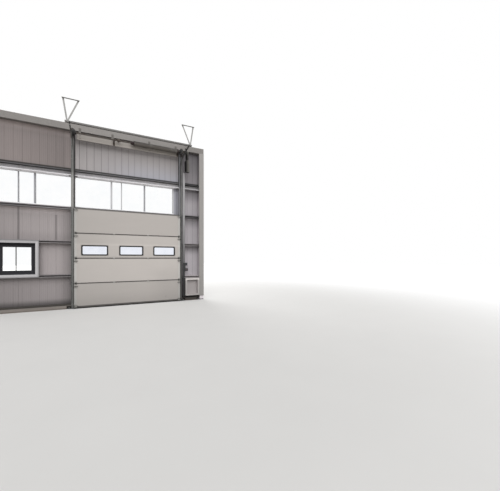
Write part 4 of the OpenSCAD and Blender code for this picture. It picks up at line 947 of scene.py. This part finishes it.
# %% Rivets and screws on the door
joints = [section_h * n for n in (1, 2, 3)]
leaf_plate = leaf_y - 0.0033                   # face of a middle hinge
cap_plate = leaf_y - 0.0051                    # face of a bracket on an end cap
cap_face = leaf_y - 0.0018
hinge_x, bracket_x, cap_x = 0.505, 1.525, 1.563
rivets = [spot(door_x + x + dx, leaf_plate, z + dz, room)
          for z in joints for x in (-hinge_x, hinge_x) for dx in (-0.019, 0.019)
          for dz in (-0.037, -0.018, 0.018, 0.037)]
cap_rivets = []
for side in (-1, 1):
    bracket_z = [(z, dx, dz) for z in joints for dx in (-0.018, 0.018)
                 for dz in (-0.122, -0.050, -0.025, 0.022, 0.046)]
    bracket_z += [(z, dx, 0.0) for z in (2.905, 2.975, 0.055, 0.128) for dx in (-0.018, 0.018)]
    rivets += [spot(door_x + side * bracket_x + dx, cap_plate, z + dz, room)
               for z, dx, dz in bracket_z]
    cap_rivets += [spot(door_x + side * cap_x, cap_face, section_h * n + 0.20 + k * 0.135, room)
                   for n in range(4) for k in range(4)]
grow("hinge_rivets", dome, rivets, finish="hinge_zinc", radius=0.0045, height=0.0024)
grow("cap_rivets", dome, cap_rivets, "white_sheet", "door_sheet", radius=0.0032,
     height=0.0015)

ring_face, ring_w = low("door_light_frames").y, 0.021
light_screws = []
for cx in (door_x - light_step, door_x, door_x + light_step):
    light_screws += [spot(cx + dx, ring_face, light_z + way * (light_tall - ring_w), room)
                     for dx in (-0.24, -0.08, 0.08, 0.24) for way in (-1, 1)]
    light_screws += [spot(cx + way * (light_half - ring_w), ring_face, light_z, room)
                     for way in (-1, 1)]
grow("light_screws", dome, light_screws, "black_plastic", "tyre_plastic", radius=0.0040,
     height=0.0016)

# %% [markdown]
# The lifting gear hangs on bolts too: straps to the eaves beam, bearing feet to the header
# rail, flanged halves of the coupling to each other, hangers to the back bar.

# %% Bolts of the lifting gear
shaft_y = (low("lift_shaft").y + high("lift_shaft").y) / 2
shaft_z = (low("lift_shaft").z + high("lift_shaft").z) / 2
header_face, header_z = low("header_rail").y, low("header_rail").z
bar_y, bar_z = low("back_bar").y, low("back_bar").z
op_x = door_x + 1.785                          # middle of the operator
strap_x = (-1.425, -0.550, 0.550, 1.425)
inner_bearing_x, end_bearing_x = (-0.510, 1.4733), 1.630
gear = []
for x in strap_x:
    for dx in (-0.016, 0.016):
        gear += [spot(door_x + x + dx, room_y - 0.004, beam_z + dz, room) for dz in (0.035, 0.075)]
        gear += [spot(door_x + x + dx, header_face, header_z + dz, room) for dz in (0.045, 0.140)]
feet = [(x, header_face, header_z, (0.022, 0.160)) for x in inner_bearing_x]
feet += [(x, room_y, shaft_z, (-0.098, 0.155)) for x in (-end_bearing_x, end_bearing_x)]
for x, y, z, heights in feet:
    gear += [spot(door_x + x + dx, y - 0.0043, z + dz, room)
             for dx in (-0.019, 0.019) for dz in heights]
gear += [spot(door_x + 1.4763, -0.148, shaft_z + dz, right) for dz in (-0.050, 0.014)]
for side in (-1, 1):
    gear.append(spot(door_x + side * 1.643, bar_y - 0.0053, bar_z + 0.020, room))
    gear.append(spot(door_x + side * 1.596, bar_y + 0.040, bar_z + 0.004, up))
gear += [spot(op_x, room_y - 0.006, shaft_z + dz, room) for dz in (0.150, 0.200)]
grow("gear_bolts", bolts, gear, finish="gear_bolt_zinc", head_r=0.0085, head_h=0.0065,
     washer_r=0.0105, washer_h=0.002, stud_h=0.0002)

def around_shaft(x, radius, *degrees, way=None):
    """Places on a round of this radius about the shaft, facing away from it or a given way."""
    turned = [(math.cos(math.radians(d)), math.sin(math.radians(d))) for d in degrees]
    return [spot(x, shaft_y + radius * c, shaft_z + radius * s, way or (0, c, s))
            for c, s in turned]

coupling_x, half_coupling, flange_r = door_x - 0.380, 0.0121, 0.0445
corners = (45, 135, 225, 315)
flange_bolts = around_shaft(coupling_x + half_coupling, flange_r, *corners, way=right)
flange_bolts += around_shaft(coupling_x - half_coupling, flange_r, *corners, way=left)
grow("coupling_bolts", bolts, flange_bolts, finish="gear_bolt_zinc", head_r=0.0062,
     head_h=0.005, washer_r=0.0070, washer_h=0.001, stud_r=0.003, stud_h=0.003)

set_screws = around_shaft(door_x - 0.023, 0.0518, 45, 225)
for side in (-1, 1):
    set_screws += around_shaft(door_x + side * 1.517, 0.0455, 60, 200)
    set_screws += around_shaft(door_x + side * 1.6390, 0.0278, 100)
grow("set_screws", bolts, set_screws, "spring_steel", "spring_oiled", sides=4, head_r=0.0065,
     head_h=0.007, washer_r=0.0045, washer_h=0.0015, stud_h=0.0002)

# %% [markdown]
# The torsion spring is close-wound from 12 mm wire, with 110 turns. In the frame it is a turned
# tube with a groove for each turn. Here a spiral curve carries a round profile, which makes the
# real wire, with its slight lead. The two cones keep the shape that the frame gives them, so
# they are copied out of the node as its loose parts.

# %% The torsion spring
def spring_tree():
    t = Tree("spring", coil_r=0.070, wire_r=0.006, length=1.373, turns=110.0, wire_sides=8,
             coil_points=28)
    spiral = t.add("CurveSpiral", inputs={
        "Resolution": t["coil_points"], "Rotations": t["turns"], "Height": t["length"],
        "Start Radius": t["coil_r"], "End Radius": t["coil_r"]})
    coils = t.tube(spiral, t["wire_sides"], t["wire_r"])
    return t.finish(t.on_places(coils), smooth=True)

spring_start = [spot(door_x + 0.071, shaft_y, shaft_z, right)]
spring_coils = grow("spring_coils", spring_tree(), spring_start, "spring_steel",
                    "spring_oiled")

def loose_parts(node, longest):
    """A copy of the solids of a node that are no longer than this along x."""
    shape = bmesh.new()
    shape.from_mesh(nodes[node].data)
    bmesh.ops.remove_doubles(shape, verts=shape.verts, dist=1e-6)
    waiting, dropped = set(shape.verts), []
    while waiting:
        part, queue = set(), [waiting.pop()]
        while queue:
            vert = queue.pop()
            part.add(vert)
            for other in (edge.other_vert(vert) for edge in vert.link_edges):
                if other in waiting:
                    waiting.discard(other)
                    queue.append(other)
        if max(v.co.x for v in part) - min(v.co.x for v in part) >= longest:
            dropped += part
    bmesh.ops.delete(shape, geom=dropped, context="VERTS")
    mesh = bpy.data.meshes.new(node + "_part")
    shape.to_mesh(mesh)
    shape.free()
    mesh.shade_smooth()
    mesh.set_sharp_from_angle(angle=math.radians(32))
    return mesh

cones = loose_parts("torsion_spring", 0.5)
cones.materials.append(finishes["cone_red"])
spring_cones = keep("spring_cones", cones)
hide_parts("torsion_spring")
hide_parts("torsion_spring")

# %% [markdown]
# The last turn of each lifting cable stays on its drum when the door is down. It is a spiral
# along the drum's groove, drawn as a path and swept with the cable's radius.

# %% Cable turns on the drums
drum_r, drum_x, groove_lead = 0.1152, 1.585, 0.006
wraps = []
for side in (-1, 1):
    turns = [math.radians(k * 7.5) for k in range(61)]
    wraps.append([(door_x + side * (drum_x + groove_lead * a / math.tau),
                   shaft_y + drum_r * math.cos(a), shaft_z + drum_r * math.sin(a))
                  for a in turns])
grow("cable_turns", sweep, runs_mesh(wraps), "cable_steel", "cable_steel", radius=0.002,
     sides=8)

# %% [markdown]
# Glass is never bedded on bare metal. A rubber gasket shows as a fine line between each pane
# and its beads, black in the low window and pale in the strip window, as painted glare. Another
# strip closes the joints between the wall panels. Both follow straight runs. The gaskets are
# swept, and the strips are blocks scaled from a stored size.

# %% Gaskets round the panes
def pane_loops(spans, panes, z0, z1):
    """A closed loop round each span of glass, just off both of its faces."""
    off_glass = 0.0012
    faces = (panes[0].y - off_glass, panes[1].y + off_glass)
    return [[(x0, y, z0), (x1, y, z0), (x1, y, z1), (x0, y, z1)]
            for y in faces for x0, x1 in spans]

strip_lo, strip_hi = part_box("strip_window_frame")
bar, slim = 0.034, 0.014                       # widths of the bars and of the slim ones
bead = 0.0065
bars = [(door_x - 2.900, slim), (door_x - 2.530, bar), ((post_l + gap_l) / 2, bar),
        (door_x - 0.574, bar), (door_x - 0.282, slim), (door_x + 0.421, bar)]
edges = [strip_lo.x + bar] + [x + s * w / 2 for x, w in bars for s in (-1, 1)]
edges.append(strip_hi.x - bar)
spans = [(x0 + bead, x1 - bead) for x0, x1 in zip(edges[::2], edges[1::2])]
loops = pane_loops(spans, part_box("strip_window_glass"), strip_lo.z + bar + bead,
                   strip_hi.z - bar - bead)
low_lo, low_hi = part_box("low_window_glass")
bar_x = 0.285 + 0.402                          # middle of the low window's glazing bar
low_spans = [(low_lo.x + bead, bar_x - 0.008), (bar_x + 0.008, low_hi.x - bead)]
low_loops = pane_loops(low_spans, (low_lo, low_hi), low_lo.z + bead, low_hi.z - bead)
grow("strip_gaskets", sweep, runs_mesh(loops, closed=True), "seal_rubber", "pale_gasket",
     radius=0.0022, sides=6)
grow("low_gaskets", sweep, runs_mesh(low_loops, closed=True), "seal_rubber", "gasket_rubber",
     radius=0.0028, sides=6)

# %% Rubber strips in the panel joints
def strip_tree():
    t = Tree("strip")
    block = t.add("MeshCube", inputs={"Size": (1.0, 1.0, 1.0)})
    return t.finish(t.add("InstanceOnPoints", inputs={
        "Points": t["Geometry"], "Instance": block, "Scale": t.facing()}))

def between(x0, x1, z0, z1):
    """A block in a panel joint: its middle, with its size kept where a way would be."""
    y0, y1 = liner_y + 0.012, liner_y + 0.070
    return ((x0 + x1) / 2, (y0 + y1) / 2, (z0 + z1) / 2, x1 - x0, y1 - y0, z1 - z0)

lining_lo, lining_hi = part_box("low_window_lining")
trimmer_lo, trimmer_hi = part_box("window_trimmers")
panel_z, upper_z = low("left_wall_panels").z, low("upper_left_panels").z
panel_top = high("upper_left_panels").z
half_strip, clear = 0.0019, 0.0003
strips = []
for x in low_joints:
    runs = [(panel_z, strip_lo.z - clear)]
    if lining_lo.x < x < lining_hi.x:
        runs = [(panel_z, trimmer_lo.z - 2 * clear), (trimmer_hi.z + 2 * clear, runs[0][1])]
    strips += [between(x - half_strip, x + half_strip, z0, z1) for z0, z1 in runs]
for x in (door_x - 2.811, joint_x, door_x - 1.251, door_x - 0.276, door_x + 0.894):
    strips.append(between(x - half_strip, x + half_strip, upper_z, panel_top))
strips.append(between(gap_r - 0.0039, gap_r - 0.0001, strip_lo.z, panel_top))
strips.append(between(strip_hi.x + 0.0004, gap_r - 0.0041, strip_hi.z - 0.0039,
                      strip_hi.z + 0.0002))
grow("joint_strips", strip_tree(), strips, "seal_rubber", "joint_rubber")

# %% [markdown]
# Out of doors the panels are held by self-drilling screws with bonded washers, in the valleys
# between the ribs, at the height of every rail behind them. Their places follow the rule that
# spaces the ribs.

# %% Screws of the wall panels
def valleys(x0, x1):
    pitch, n = 1 / 3, math.floor((x1 - x0 - 0.094) * 3)
    last = (x0 + x1) / 2 + n * pitch / 2
    return [last - (k + 0.5) * pitch for k in range(n)]

outer_y = high("left_wall_panels").y - 0.035   # face of a valley
wall_x0, wall_x1 = low("left_wall_panels").x, high("right_wall_panels").x
row_z = [panel_z + 0.050] + [z + 0.040 for z in rail_z[:2]] + [2.930]
top_z = [rail_z[3] + 0.100, beam_z + 0.060]
low_edges = (wall_x0, 0.738, joint_x, gap_l)
top_edges = (wall_x0, 0.824, joint_x, 2.384, 3.359, 4.529, gap_r)
groups = [(x0, x1, row_z) for x0, x1 in zip(low_edges, low_edges[1:])]
groups += [(x0, x1, top_z) for x0, x1 in zip(top_edges, top_edges[1:])]
groups.append((gap_r, wall_x1, row_z + [rail_z[2] + 0.040] + top_z))
outside = []
for x0, x1, heights in groups:
    for x in valleys(x0, x1):
        for z in heights:
            in_window = (lining_lo.x + 0.04 < x + 0.06 and x - 0.06 < lining_hi.x - 0.04
                         and lining_lo.z < z < lining_hi.z)
            if not in_window:
                outside += [spot(x + dx, outer_y, z, yard) for dx in (-0.045, 0.045)]
grow("panel_screws", bolts, outside, head_r=0.0046, head_h=0.005, washer_r=0.0085,
     washer_h=0.0018, stud_h=0.0002, stud_r=0.003)

# %% [markdown]
# The operator's motor is ringed by cooling fins, and its gear housing and lower case are closed
# by screws. The white box, the trim on the corner post and the control have their own few
# screws.

# %% Operator and fittings
fins_top, fin_step = 0.072, 0.011
fins = [spot(op_x, shaft_y, shaft_z - fins_top - k * fin_step, down) for k in range(16)]
grow("motor_fins", bolts, fins, "operator_case", "case_plastic", sides=32, head_r=0.0485,
     head_h=0.0035, washer_r=0.043, washer_h=0.0005, stud_h=0.0002)
case_z, housing_r = low("operator").z, 0.050
case_screws = [spot(op_x + dx, shaft_y - 0.055, z, room)
               for dx in (-0.056, 0.056) for z in (case_z + 0.018, case_z + 0.350)]
case_screws += [spot(op_x + side * 0.042, shaft_y + housing_r * math.cos(a),
                     shaft_z + housing_r * math.sin(a), right if side > 0 else left)
                for side in (-1, 1) for a in (0.6, 1.8, 3.0, 4.2, 5.4)]
grow("case_screws", dome, case_screws, radius=0.0045, height=0.0022)

box_lo, box_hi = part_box("wall_box")
trim, control = low("corner_trim"), low("door_control")
fitting_screws = [spot(x, box_lo.y, z, room) for x in (box_lo.x + 0.03, box_hi.x - 0.03)
                  for z in (box_lo.z + 0.03, box_hi.z - 0.03)]
fitting_screws += [spot(trim.x + 0.035, trim.y, 0.30 + 0.56 * k, room) for k in range(9)]
fitting_screws += [spot(control.x + dx, control.y, control.z + dz, room)
                   for dx in (0.008, 0.092) for dz in (0.008, 0.097)]
grow("fitting_screws", dome, fitting_screws, radius=0.0040, height=0.0020)
print("added in all:", sum(made.values()), "triangles in", len(made), "pieces")

# %% [markdown]
# A plain pale floor and a white surround. To the camera the floor is pale, but the light that
# it throws back up at the ledges is that of a grey floor, so undersides stay dark. The world
# lights the bay softly from every side. A broad sun on the room side gives the ledges their
# shade, and a lamp in the yard lights the outer face. What the camera, glass and metal see of
# the world is white.

# %% Floor, world and lamps
black, white = (0.0, 0.0, 0.0, 1.0), (1.0, 1.0, 1.0, 1.0)
floor_mesh = bpy.data.meshes.new("floor")
floor_mesh.from_pydata([(-60, -60, 0), (60, -60, 0), (60, 60, 0), (-60, 60, 0)], [],
                       [(0, 1, 2, 3)])
floor = bpy.data.objects.new("floor", floor_mesh)
link(floor)
p = Paint("floor_paint", 0.5)
seen = p.add("LightPath", out="Is Camera Ray")
through = p.add("LightPath", out="Is Transmission Ray")
far = p.add("VectorMath", {"operation": "DISTANCE"}, [p.place, (3.1, -1.5, 0.0)],
            out="Value").ramp(6.0, 15.0)
bounce = p.mix(abs(p.y).ramp(0.4, 4.5), srgb(112, 110, 108), srgb(198, 195, 191))
pale = p.mix(seen, bounce, p.mix(far, srgb(214, 213, 211), black))
glow = p.mix(seen, black, p.mix(far, srgb(60, 60, 60), white))
p.feed(p.shader["Emission Color"], p.mix(through, glow, white))
p.shader["Emission Strength"].default_value = 1.0
p.finish(p.shade(pale, 0.97 + p.noise(1.5, 3.0) * 0.04), 0.8)
floor_mesh.materials.append(finishes["floor_paint"])

world = bpy.data.worlds.new("surround")
bpy.context.scene.world = world
world.use_nodes = True
sky = Nodes(world.node_tree)
seen = sky.add("LightPath", out="Is Camera Ray").math(
    "MAXIMUM", sky.add("LightPath", out="Is Glossy Ray")).math(
    "MAXIMUM", sky.add("LightPath", out="Is Transmission Ray"))
background = world.node_tree.nodes["Background"]
background.inputs["Color"].default_value = white
sky.feed(background.inputs["Strength"], sky.add("MapRange", inputs={
    "Value": seen, "To Min": 0.50, "To Max": 1.0}))

def lamp(name, kind, place, aim, power, **settings):
    data = bpy.data.lights.new(name, kind)
    data.energy = power
    for key, value in settings.items():
        setattr(data, key, value)
    light = bpy.data.objects.new(name, data)
    light.location = place
    light.rotation_euler = (Vector(aim) - Vector(place)).to_track_quat("-Z", "Y").to_euler()
    light.visible_transmission = False
    link(light)

lamp("roof_light", "SUN", (2.9, -6.0, 8.6), (3.3, 0.0, 2.6), 1.95, angle=math.radians(60.0))
lamp("yard_lamp", "AREA", (5.0, 9.0, 8.0), (3.0, 0.0, 2.5), 600.0, shape="SQUARE", size=6.0)
bpy.context.scene.view_settings.view_transform = "Standard"
